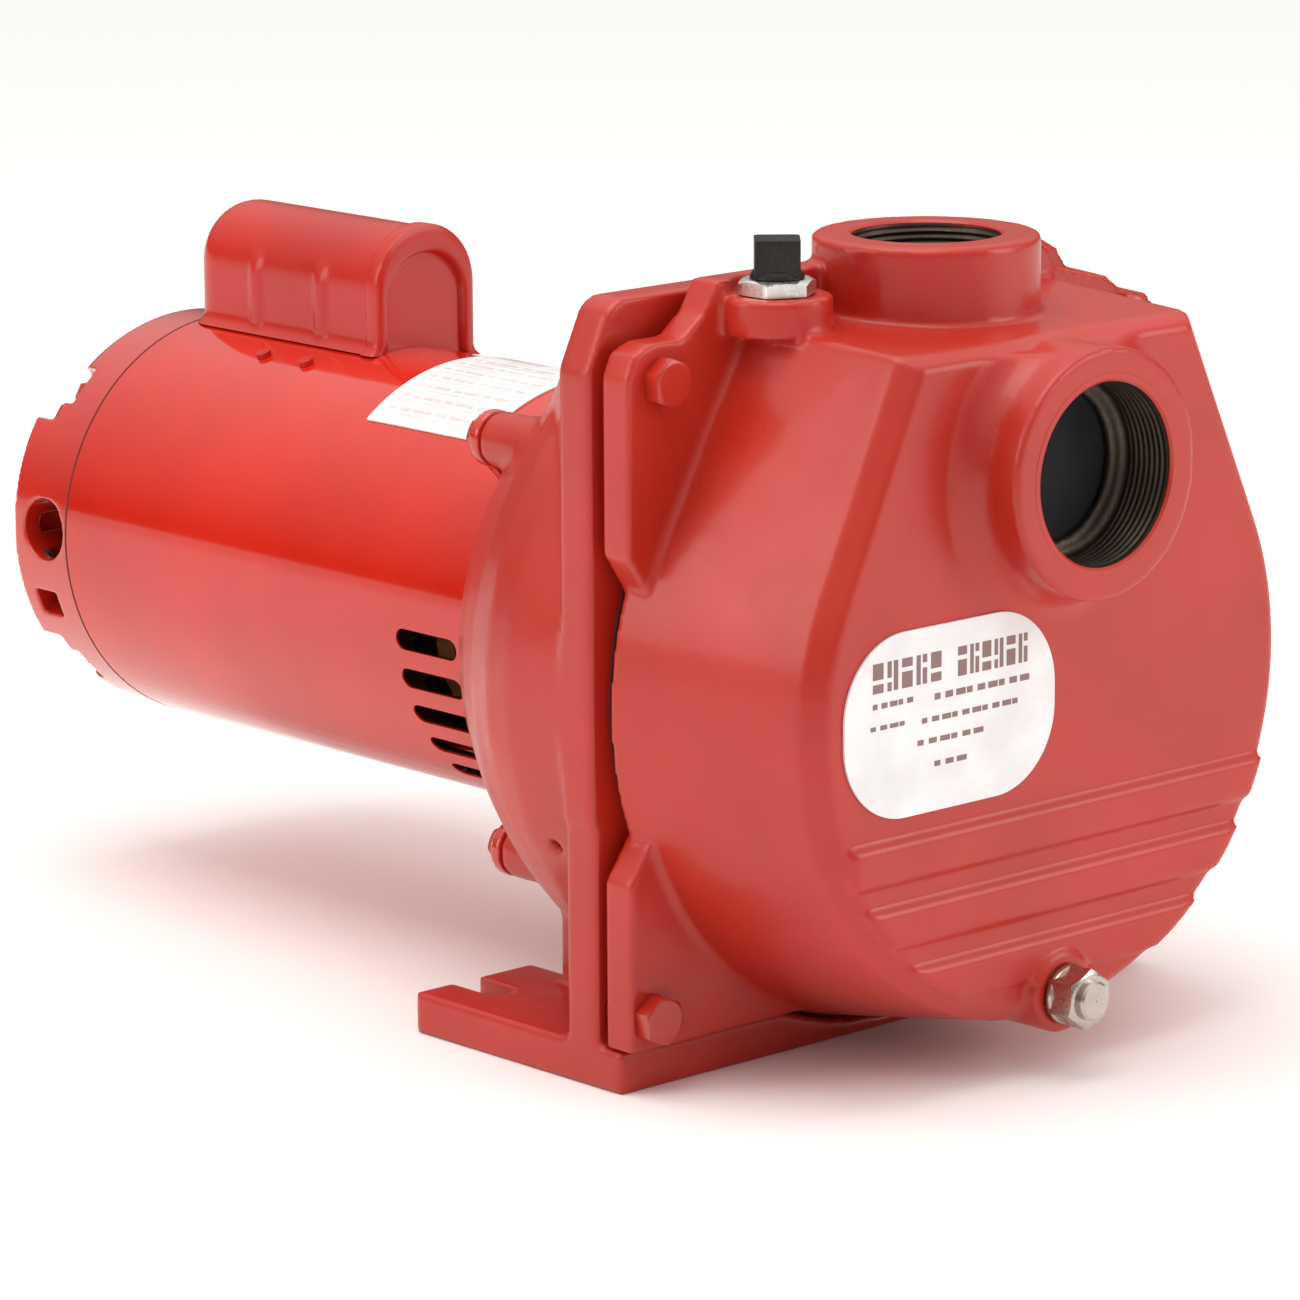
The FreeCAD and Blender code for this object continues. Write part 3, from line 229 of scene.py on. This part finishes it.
WEARERS = {
    "casting": "pump_casing motor_adapter",
    "fibre": "casing_gasket",
    "bolt": "casing_bolts thru_bolts motor_mount_bolts",
    "plastic": "diffuser impeller seal_head governor_collar centrifugal_switch terminal_board "
               "capacitor",
    "steel": "diffuser_screws seal_spring shaft flapper_pin wave_washer governor",
    "rubber": "diffuser_o_ring slinger suction_flapper",
    "copper": "impeller_nut stator_windings",
    "ceramic": "seal_seat",
    "iron": "flapper_weight priming_plug",
    "zinc": "priming_bushing drain_plug rear_cover_screws ground_screw",
    "alloy": "front_end_bell rear_end_bell",
    "shell": "motor_shell",
    "stack": "stator_core rotor_core",
    "rotor": "rotor_end_rings",
    "motor": "rear_cover",
    "cover": "capacitor_cover capacitor_cover_screws",
    "label": "pump_label_plate motor_nameplate",
}
FINISH = {node: finish for finish, nodes in WEARERS.items() for node in nodes.split()}


def dress(piece, *finishes):
    piece.data.materials.clear()
    for finish in finishes:
        piece.data.materials.append(MATERIALS[finish])


def finish_frame():
    """Every carried-over CAD node gets its procedural material."""
    for name, piece in NODES.items():
        finish = FINISH.get(name, "steel")
        for slot in piece.material_slots:
            slot.material = MATERIALS[finish]


# ---------------------------------------------------------------- mesh helpers
def new_piece(name, mesh, finish, body, slot, *replaced):
    piece = bpy.data.objects.new(name, mesh)
    bpy.context.scene.collection.objects.link(piece)
    if finish:
        dress(piece, *finish.split())
    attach(piece, body)
    if replaced:
        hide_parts(*replaced)
    return piece


def smooth(mesh, angle=40.0):
    mesh.shade_smooth()
    mesh.set_sharp_from_angle(angle=math.radians(angle))


def mesh_from(name, verts, faces, angle=40.0):
    mesh = bpy.data.meshes.new(name)
    mesh.from_pydata(verts, [], faces)
    mesh.validate()
    smooth(mesh, angle)
    return mesh


def rings_mesh(name, rings, closed_profile=False, angle=40.0):
    """Skin a list of equal rings of points; ends are capped unless the profile closes on itself."""
    around = len(rings[0])
    verts = [point for ring in rings for point in ring]
    faces = []
    total = len(rings)
    for i in range(total if closed_profile else total - 1):
        j = (i + 1) % total
        for k in range(around):
            n = (k + 1) % around
            faces.append((i * around + k, i * around + n, j * around + n, j * around + k))
    if not closed_profile:
        faces.append(tuple(reversed(range(around))))
        faces.append(tuple((total - 1) * around + k for k in range(around)))
    return mesh_from(name, verts, faces, angle)


def axes_of(direction):
    """Two unit vectors square to a direction."""
    along = Vector(direction).normalized()
    side = along.orthogonal().normalized()
    return along, side, along.cross(side)


def join_meshes(name, meshes):
    built = bmesh.new()
    for mesh in meshes:
        built.from_mesh(mesh)
    joined = bpy.data.meshes.new(name)
    built.to_mesh(joined)
    built.free()
    smooth(joined)
    return joined


def bolt_head(name, base, direction, across, height, turn=0.0, sides=6, steps=12, bore=0.0):
    """Head with flat sides and the usual 30 degree chamfer, standing on base along direction."""
    along, side, other = axes_of(direction)
    base = Vector(base)
    half_flat = math.pi / sides
    corner = across / 2 / math.cos(half_flat)
    crown = across * (0.47 if sides == 6 else 0.66)
    rings = [[] for _ in range(7 if bore else 5)]
    for k in range(sides * steps):
        angle = 2 * math.pi * k / (sides * steps)
        flat = (angle + half_flat) % (2 * half_flat) - half_flat
        reach = min(across / 2 / math.cos(flat), corner * 0.985)
        drop = max(0.0, reach - crown) * math.tan(math.radians(30))
        top = min(reach, crown)
        ray = side * math.cos(angle + turn) + other * math.sin(angle + turn)
        heights = [(reach * 0.97, 0.0), (reach, height * 0.06), (reach, height - drop),
                   (top, height), (top * 0.9, height)]
        if bore:
            heights += [(bore, height), (bore, 0.0)]
        for ring, (radius, level) in zip(rings, heights):
            ring.append(base + ray * radius + along * level)
    return rings_mesh(name, rings, closed_profile=bool(bore), angle=25)


def lathe(name, centre, direction, profile, segments=72, angle=40.0):
    """Turn a closed (radius, height) profile about a line."""
    along, side, other = axes_of(direction)
    centre = Vector(centre)
    rings = []
    for radius, level in profile:
        ring = []
        for k in range(segments):
            turn = 2 * math.pi * k / segments
            ray = side * math.cos(turn) + other * math.sin(turn)
            ring.append(centre + along * level + ray * radius)
        rings.append(ring)
    return rings_mesh(name, rings, closed_profile=True, angle=angle)


def modified(mesh, *modifiers):
    """Apply modifiers, given as (type, {setting: value}), and return the new mesh."""
    holder = bpy.data.objects.new("holder", mesh)
    bpy.context.scene.collection.objects.link(holder)
    for kind, settings in modifiers:
        modifier = holder.modifiers.new(kind.lower(), kind)
        for key, value in settings.items():
            setattr(modifier, key, value)
    graph = bpy.context.evaluated_depsgraph_get()
    made = bpy.data.meshes.new_from_object(holder.evaluated_get(graph))
    bpy.data.objects.remove(holder)
    return made


def cast_copy(node, voxel, rounds):
    """Copy of a CAD casting whose edges and inside corners are softened as in a sand mould."""
    mesh = NODES[node].data.copy()
    built = bmesh.new()
    built.from_mesh(mesh)
    bmesh.ops.remove_doubles(built, verts=built.verts, dist=1e-6)
    built.to_mesh(mesh)
    built.free()
    remesh = {"mode": "VOXEL", "voxel_size": voxel, "use_smooth_shade": True}
    return modified(mesh, ("REMESH", remesh), ("SMOOTH", {"factor": 0.5, "iterations": rounds}))


# ---------------------------------------------------------------- castings
BORE_DEPTH = 60 * MM               # bare metal, darkened as painted shade, this far into a port
BORE_PROUD = 1.2 * MM              # and this far in front of its mouth
BELL_SHADE_RADIUS = 68.5 * MM     # the rear end bell takes the dark plastic material inside this radius, as painted shade
BELL_BACK_WALL = 10.8 * MM         # and in front of its back wall


def casting(node, name, voxel, rounds, bores=()):
    """Replace a casting with its softened copy; faces inside a bore are bare machined metal, dark partly
    as painted shade.
    """
    mesh = cast_copy(node, voxel * MM, rounds)
    new_piece(name, mesh, "casting bore", "pump", "casting_paint", node)
    for face in mesh.polygons:
        face.material_index = 0
        for start, direction, radius in bores:
            offset = face.center - start
            level = offset.dot(direction)
            if -BORE_DEPTH < level < BORE_PROUD and (offset - direction * level).length < radius:
                face.material_index = 1


def castings():
    bores = [(mouth, direction, mount_radius(port) + 2 * MM)
             for port, mouth, direction, _ in port_mouths()]
    casting("pump_casing", "casing_casting", 1.25, 5, bores)
    casting("motor_adapter", "adapter_casting", 1.5, 5)
    pressings = (("front_end_bell", 0.9, 2), ("rear_end_bell", 0.7, 4), ("rear_cover", 0.8, 4))
    for node, voxel, rounds in pressings:
        slot = "motor_paint" if node == "rear_cover" else "motor_alloy"
        mesh = cast_copy(node, voxel * MM, rounds)
        # second slot: the dark plastic material, used as painted shade inside the rear end bell
        new_piece(node + "_pressing", mesh, FINISH[node] + " plastic", "pump", slot, node)
        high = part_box(node)[1]
        for face in mesh.polygons:
            reach = math.hypot(face.center.x, face.center.z - SHAFT_HEIGHT)
            inside = reach < BELL_SHADE_RADIUS and face.center.y < high.y - BELL_BACK_WALL
            # faces inside the rear end bell take the dark plastic material as painted shade
            face.material_index = 1 if inside and node == "rear_end_bell" else 0


# ---------------------------------------------------------------- fasteners and plugs
def islands(node):
    """Corner pairs of each separate solid in a CAD node."""
    built = bmesh.new()
    built.from_mesh(NODES[node].data)
    bmesh.ops.remove_doubles(built, verts=built.verts, dist=1e-6)
    left, boxes = set(built.verts), []
    while left:
        front = [left.pop()]
        found = list(front)
        while front:
            for edge in front.pop().link_edges:
                for vert in edge.verts:
                    if vert in left:
                        left.remove(vert)
                        front.append(vert)
                        found.append(vert)
        boxes.append((Vector([min(v.co[i] for v in found) for i in range(3)]),
                      Vector([max(v.co[i] for v in found) for i in range(3)])))
    built.free()
    return sorted(boxes, key=lambda corners: tuple(corners[0]))


def bolt_set(node, towards, across, head, shank, slot, finish, turn=0.0):
    """Chamfered heads and plain shanks in place of a node of bolts along Y."""
    meshes = []
    for low, high in islands(node):
        middle = (low + high) / 2
        seat = low.y + head if towards < 0 else high.y - head
        tip = high.y if towards < 0 else low.y
        base = Vector((middle.x, seat, middle.z))
        meshes.append(bolt_head(node, base, (0, towards, 0), across, head, turn))
        length = abs(tip - seat)
        meshes.append(lathe(node, base, (0, -towards, 0),
                            [(AXIS, -head / 2), (shank, -head / 2), (shank, length - 0.001),
                             (shank - 0.001, length), (AXIS, length)], 24))
    new_piece(node + "_chamfered", join_meshes(node, meshes), finish, "pump", slot, node)


def fasteners():
    bolt_set("casing_bolts", -1, 14.3 * MM, 6.4 * MM, 4.75 * MM, "bolt_paint", "bolt", 0.4)
    bolt_set("motor_mount_bolts", 1, 11 * MM, 5 * MM, 3.85 * MM, "bolt_paint", "bolt", 0.2)
    bolt_set("rear_cover_screws", 1, 7 * MM, 2.95 * MM, 1.85 * MM, "zinc", "zinc")


def in_mm(*points):
    """(radius, height) pairs given in millimetres."""
    return [(radius * MM, level * MM) for radius, level in points]


def box_middle(node):
    low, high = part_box(node)
    return low, high, (low + high) / 2


def priming_bushing():
    _, high, middle = box_middle("priming_bushing")
    seat = (middle.x, middle.y, high.z - 5 * MM)
    hexagon = bolt_head("bushing", seat, (0, 0, 1), 22.2 * MM, 5 * MM, 0.3, bore=7.6 * MM)
    neck = lathe("neck", seat, (0, 0, -1),
                 in_mm((7.6, -1), (10.1, -1), (10.1, 8.5), (9.3, 10), (7.6, 10)))
    mesh = join_meshes("bushing_hex", [hexagon, neck])
    new_piece("bushing_hex", mesh, "zinc", "pump", "zinc", "priming_bushing")


def priming_plug():
    low, high, middle = box_middle("priming_plug")
    length = high.z - low.z
    head = bolt_head("plug", (middle.x, middle.y, high.z - 11.3 * MM), (0, 0, 1), 14.3 * MM,
                     11.3 * MM, math.radians(3), 4)
    body = lathe("plug_body", (middle.x, middle.y, high.z - 11 * MM), (0, 0, -1),
                 [(AXIS, -0.001)] + in_mm((7.6, -1), (8.6, 0.5), (8.6, 1.2), (7.4, 2))
                 + [(7.35 * MM, length - 11.6 * MM), (6.6 * MM, length - 11 * MM),
                    (AXIS, length - 11 * MM)])
    mesh = join_meshes("plug_square_head", [head, body])
    new_piece("plug_square_head", mesh, "iron", "priming_plug", "black_iron", "priming_plug")


def drain_plug():
    low, high, middle = box_middle("drain_plug")
    base = Vector((middle.x, low.y + 13.4 * MM, middle.z))
    length = high.y - base.y
    outward = (0, -1, 0)
    head = bolt_head("drain", base, outward, 17.5 * MM, 11 * MM, 0.15)
    collar = lathe("collar", base, outward,
                   in_mm((2, 0), (9.3, 0), (9.6, 0.4), (9.6, 2), (9.2, 2.5), (2, 2.5)))
    tip = lathe("tip", base, outward,
                in_mm((0.2, 10), (6.4, 10), (6.4, 12.6), (5.6, 13.4), (0.2, 13.4)))
    stub = lathe("stub", base, (0, 1, 0),
                 in_mm((0.2, -1), (7.85, -1)) + [(7.85 * MM, length - 1 * MM), (6.9 * MM, length),
                                                 (AXIS, length)])
    mesh = join_meshes("drain_hex", [head, collar, tip, stub])
    new_piece("drain_hex", mesh, "plug_zinc", "drain_plug", "zinc", "drain_plug")


# ---------------------------------------------------------------- capacitor cover
COVER_HALF = 21 * MM               # half the width of its straight part
COVER_RIBS = (32.7 * MM, 68.6 * MM)  # back from its front
COVER_RIB_HEIGHT = 1.6 * MM
COVER_ROUNDING = 12 * MM           # at its back
COVER_FLARE = 3.2 * MM             # where it meets the shell


def shell_height(x, gap):
    """Height of the motor shell's top at x, gap above the metal."""
    return SHAFT_HEIGHT + math.sqrt((SHELL_RADIUS + gap) ** 2 - x * x)


def capacitor_cover():
    """Stamped D-shaped cover: rim band and recess in front, rounded back, ribs on its sides."""
    low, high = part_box("capacitor_cover")
    middle = (low.x + high.x) / 2
    front, back = low.y, high.y
    spring = high.z - 1 * MM - COVER_HALF
    pivot = SHAFT_HEIGHT + SHELL_RADIUS - 6 * MM

    def rib(height, y):
        inside = max(0.0, 1 - abs(height - (spring - 7 * MM)) / (13 * MM)) ** 0.3
        near = max(math.exp(-((y - front - at) / (3.2 * MM)) ** 4) for at in COVER_RIBS)
        return COVER_RIB_HEIGHT * near * inside

    def wall(side, grow, y, height, foot):
        """Point of a straight side, flared at its foot."""
        flare = COVER_FLARE * max(0.0, 1 - (height - foot) / (4 * MM)) ** 2
        return middle + side * (COVER_HALF + grow + rib(height, y) + flare), height

    def outline(grow, y):
        feet = [shell_height(middle + side * COVER_HALF, 0.1 * MM) for side in (-1, 1)]
        points = []
        for i in range(13):
            points.append(wall(-1, grow, y, feet[0] + (spring - feet[0]) * i / 13, feet[0]))
        reach = COVER_HALF + grow
        for i in range(25):
            angle = math.pi * (1 - i / 24)
            height = spring + reach * math.sin(angle)
            bulge = rib(height, y) if abs(math.cos(angle)) > 0.6 else 0.0
            points.append((middle + (reach + bulge) * math.cos(angle), height))
        for i in range(13):
            points.append(wall(1, grow, y, spring + (feet[1] - spring) * (i + 1) / 13, feet[1]))
        right, left = points[-1][0], points[0][0]
        for i in range(1, 12):
            x = right + (left - right) * i / 12
            points.append((x, shell_height(x, 0.05 * MM)))
        return points

    def ring(y, grow, shrink=1.0):
        return [Vector((middle + (x - middle) * shrink, y, pivot + (z - pivot) * shrink))
                for x, z in outline(grow, y)]

    recess = ((2.2, 0.76), (2.2, 0.80), (1.6, 0.815), (0.4, 0.83), (0, 0.86), (0, 0.97))
    band = ((0.5, 0.8), (1.2, 1.1), (6, 1.1), (6.8, 0.8), (7.2, 0))
    rings = [ring(front + behind * MM, 0, shrink) for behind, shrink in recess]
    rings += [ring(front + behind * MM, grow * MM) for behind, grow in band]
    y = front + 9 * MM
    while y < back - 13 * MM:
        rings.append(ring(y, 0))
        y += 1.2 * MM
    for i in range(9):
        turn = math.radians(11.25 * i)
        rings.append(ring(back - COVER_ROUNDING * (1 - math.sin(turn)),
                          -9 * MM * (1 - math.cos(turn))))
    mesh = rings_mesh("cover", rings, angle=50)
    new_piece("capacitor_cover_stamped", mesh, "cover", "pump", "motor_paint", "capacitor_cover")


# ---------------------------------------------------------------- print on the two plates
GLYPHS = [[(0, 0, 1, 0.3), (0, 0.45, 1, 1)],
          [(0, 0, 0.4, 1), (0.58, 0, 1, 0.55), (0.58, 0.72, 1, 1)],
          [(0, 0, 1, 0.55), (0, 0.7, 1, 1)],
          [(0, 0, 0.4, 0.3), (0, 0.45, 0.4, 1), (0.58, 0, 1, 1)]]


def marks(left, right, low, high, count, shift=0):
    """A run of made-up block characters that spell nothing."""
    step = (right - left) / count
    strokes = []
    for i in range(count):
        for x0, z0, x1, z1 in GLYPHS[(i * 3 + shift) % len(GLYPHS)]:
            strokes.append((left + step * (i + x0 * 0.74), low + (high - low) * z0,
                            left + step * (i + x1 * 0.74), low + (high - low) * z1))
    return strokes


def dashes(left, right, low, high, count):
    step = (right - left) / count
    return [(left + step * i, low, left + step * (i + 0.55 + 0.35 * ((i * 7) % 3) / 2), high)
            for i in range(count)]


def printed(name, strokes, place, ink="print"):
    """Ink film: each stroke is (left, low, right, high) on the plate."""
    verts, faces = [], []
    for left, low, right, high in strokes:
        start = len(verts)
        for i in range(4):
            across = left + (right - left) * i / 3
            verts += [place(across, low), place(across, high)]
        for corner in range(start, start + 6, 2):
            faces.append((corner, corner + 2, corner + 3, corner + 1))
    new_piece(name, mesh_from(name, verts, faces), ink, "pump", "label")


def prints():
    low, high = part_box("pump_label_plate")
    wide, tall = high.x - low.x, high.z - low.z
    strokes = marks(0.13, 0.47, 0.70, 0.86, 5) + marks(0.53, 0.88, 0.70, 0.86, 6, 2)
    strokes += dashes(0.13, 0.33, 0.615, 0.645, 5) + dashes(0.42, 0.88, 0.60, 0.635, 9)
    strokes += dashes(0.12, 0.30, 0.50, 0.525, 4) + dashes(0.36, 0.84, 0.485, 0.515, 10)
    strokes += dashes(0.34, 0.66, 0.37, 0.40, 6) + dashes(0.42, 0.58, 0.24, 0.27, 3)
    printed("pump_label_print", strokes,
            lambda x, z: Vector((low.x + wide * x, low.y - 0.04 * MM, low.z + tall * z)))
    plate_low, plate_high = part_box("motor_nameplate")
    length = plate_high.y - plate_low.y
    radius = SHELL_RADIUS + 0.66 * MM

    def on_shell(across, up):
        angle = math.radians(75 + 53 * (1 - up))
        return Vector((radius * math.cos(angle), plate_high.y - length * across,
                       SHAFT_HEIGHT + radius * math.sin(angle)))

    rows = marks(0.08, 0.5, 0.84, 0.93, 6, 1)
    for i in range(7):
        low_edge = 0.10 + 0.1 * i
        rows += dashes(0.08, 0.92, low_edge, low_edge + 0.022, 8 + i % 3)
        rows.append((0.06, low_edge - 0.03, 0.94, low_edge - 0.026))
    printed("motor_nameplate_print", rows, on_shell, "faint")


# ---------------------------------------------------------------- pipe threads
def pipe_thread(name, mouth, direction, radius, length, per_inch=11.5):
    """Liner with a helical V thread on its inside."""
    along, side, other = axes_of(direction)
    pitch = 25.4 * MM / per_inch
    height = 0.6 * MM
    around, levels = 96, int(length / pitch * 8)
    rays = []
    for k in range(around):
        turn = 2 * math.pi * k / around
        rays.append(side * math.cos(turn) + other * math.sin(turn))
    inner = []
    for i in range(levels + 1):
        level = -0.001 - length * i / levels
        ring = []
        fade = min(1.0, i / 8, (levels - i) / 12)
        for k, ray in enumerate(rays):
            phase = (level / pitch + k / around) % 1.0
            ridge = 1 - abs(2 * phase - 1)
            reach = radius - 0.05 * MM - height * ridge * fade
            ring.append(mouth + ray * reach + along * level)
        inner.append(ring)
    outer = []
    for level in (-0.001 - length, -0.001):
        outer.append([mouth + ray * (radius + 0.5 * MM) + along * level for ray in rays])
    return rings_mesh(name, inner + outer, closed_profile=True, angle=60)


def seam():
    """Shadow line where the rear end bell is let into the motor shell."""
    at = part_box("motor_shell")[1].y
    ring = lathe("seam", (0, at, SHAFT_HEIGHT), (0, 1, 0),
                 [(SHELL_RADIUS - 2 * MM, -0.3 * MM), (SHELL_RADIUS + 0.06 * MM, -0.3 * MM),
                  (SHELL_RADIUS + 0.06 * MM, 0.5 * MM), (SHELL_RADIUS - 2 * MM, 0.5 * MM)], 144)
    new_piece("shell_seam", ring, "fibre", "pump", "plastic_black")


def port_mouths():
    """Mouth, direction and threaded length of the two pipe ports."""
    suction = mount_place("suction_port")
    suction.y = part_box("pump_casing")[0].y
    discharge = mount_place("discharge_port")
    discharge.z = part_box("pump_casing")[1].z
    return (("suction_port", suction, Vector((0, -1, 0)), 0.019),
            ("discharge_port", discharge, Vector((0, 0, 1)), 0.02))


def threads():
    for port, mouth, direction, length in port_mouths():
        radius = mount_radius(port)
        mesh = pipe_thread(port + "_thread", mouth, direction, radius, length)
        new_piece(port + "_thread", mesh, "bore", "pump", "casting_paint")
        edge = [(radius + out * MM, level * MM)
                for out, level in ((0, -2), (0, -0.6), (0.8, 0.12), (2.6, 0.15), (2.9, -0.1), (2.9, -2))]
        rim = lathe(port + "_rim", mouth, direction, edge, 120, 25)
        new_piece(port + "_rim", rim, "casting", "pump", "casting_paint")


# ---------------------------------------------------------------- stage, light and camera
FLOOR_SIZE = 60
HORIZON_GLOW, ZENITH_GLOW = 0.05, 1.28
WARM_WHITE = (1.0, 0.96, 0.9)


def add_stage():
    bpy.ops.mesh.primitive_plane_add(size=FLOOR_SIZE, location=(0, 0, 0))
    floor = bpy.context.object
    floor.name = "floor"
    shader = Shader("floor_paper", Base_Color=(0.98, 0.98, 0.98, 1), Roughness=0.75)
    shader.bump(shader.noise(220.0), 0.03, 0.0005)
    floor.data.materials.append(shader.material)


def area_light(name, place, target, size, power, colour=(1, 1, 1)):
    data = bpy.data.lights.new(name, "AREA")
    data.shape = "RECTANGLE"
    data.size, data.size_y = size
    data.energy = power
    data.color = colour
    light = bpy.data.objects.new(name, data)
    light.location = place
    light.rotation_euler = (Vector(target) - Vector(place)).to_track_quat("-Z", "Y").to_euler()
    bpy.context.scene.collection.objects.link(light)


def add_lights():
    """Soft sky that is bright overhead and dim at the horizon, with two soft boxes."""
    world = bpy.data.worlds.new("studio")
    world.use_nodes = True
    tree = world.node_tree
    background = tree.nodes["Background"]
    background.inputs["Color"].default_value = (1.0, 0.985, 0.96, 1)
    split = tree.nodes.new("ShaderNodeSeparateXYZ")
    rise = tree.nodes.new("ShaderNodeMapRange")
    set_range(rise, 0.05, 0.85, HORIZON_GLOW, ZENITH_GLOW)
    tree.links.new(tree.nodes.new("ShaderNodeTexCoord").outputs["Generated"], split.inputs[0])
    tree.links.new(split.outputs["Z"], rise.inputs["Value"])
    tree.links.new(rise.outputs["Result"], background.inputs["Strength"])
    bpy.context.scene.world = world
    bpy.context.scene.view_settings.view_transform = "Standard"
    middle = (0, 0.1, 0.12)
    area_light("overhead", (-0.3, 0.1, 1.9), middle, (1.6, 1.2), 13, WARM_WHITE)
    area_light("left_box", (-1.9, 0.9, 0.9), middle, (1.0, 1.1), 11, WARM_WHITE)
    area_light("front_box", (1.25, -1.6, 0.8), middle, (1.0, 1.0), 12, WARM_WHITE)


# Camera: the viewing angle of a long lens, left of the pump's front and slightly above.
AZIMUTH, ELEVATION, ROLL = math.radians(-42.42), math.radians(12.52), math.radians(-0.32)
CAMERA_PLACE = (-1.35102, -1.37528, 0.55213)
LENS = 168.58


def add_camera():
    data = bpy.data.cameras.new("camera")
    data.lens = LENS
    data.sensor_width = 36
    camera = bpy.data.objects.new("camera", data)
    back = Vector((math.sin(AZIMUTH) * math.cos(ELEVATION),
                   -math.cos(AZIMUTH) * math.cos(ELEVATION), math.sin(ELEVATION)))
    right = Vector((math.cos(AZIMUTH), math.sin(AZIMUTH), 0))
    up = back.cross(right)
    turned_right = right * math.cos(ROLL) + up * math.sin(ROLL)
    turned_up = up * math.cos(ROLL) - right * math.sin(ROLL)
    matrix = Matrix((turned_right, turned_up, back)).transposed().to_4x4()
    matrix.translation = Vector(CAMERA_PLACE)
    camera.matrix_world = matrix
    bpy.context.scene.collection.objects.link(camera)
    bpy.context.scene.camera = camera


add_camera()
finish_frame()
castings()
fasteners()
priming_bushing()
priming_plug()
drain_plug()
capacitor_cover()
prints()
threads()
seam()
add_stage()
add_lights()
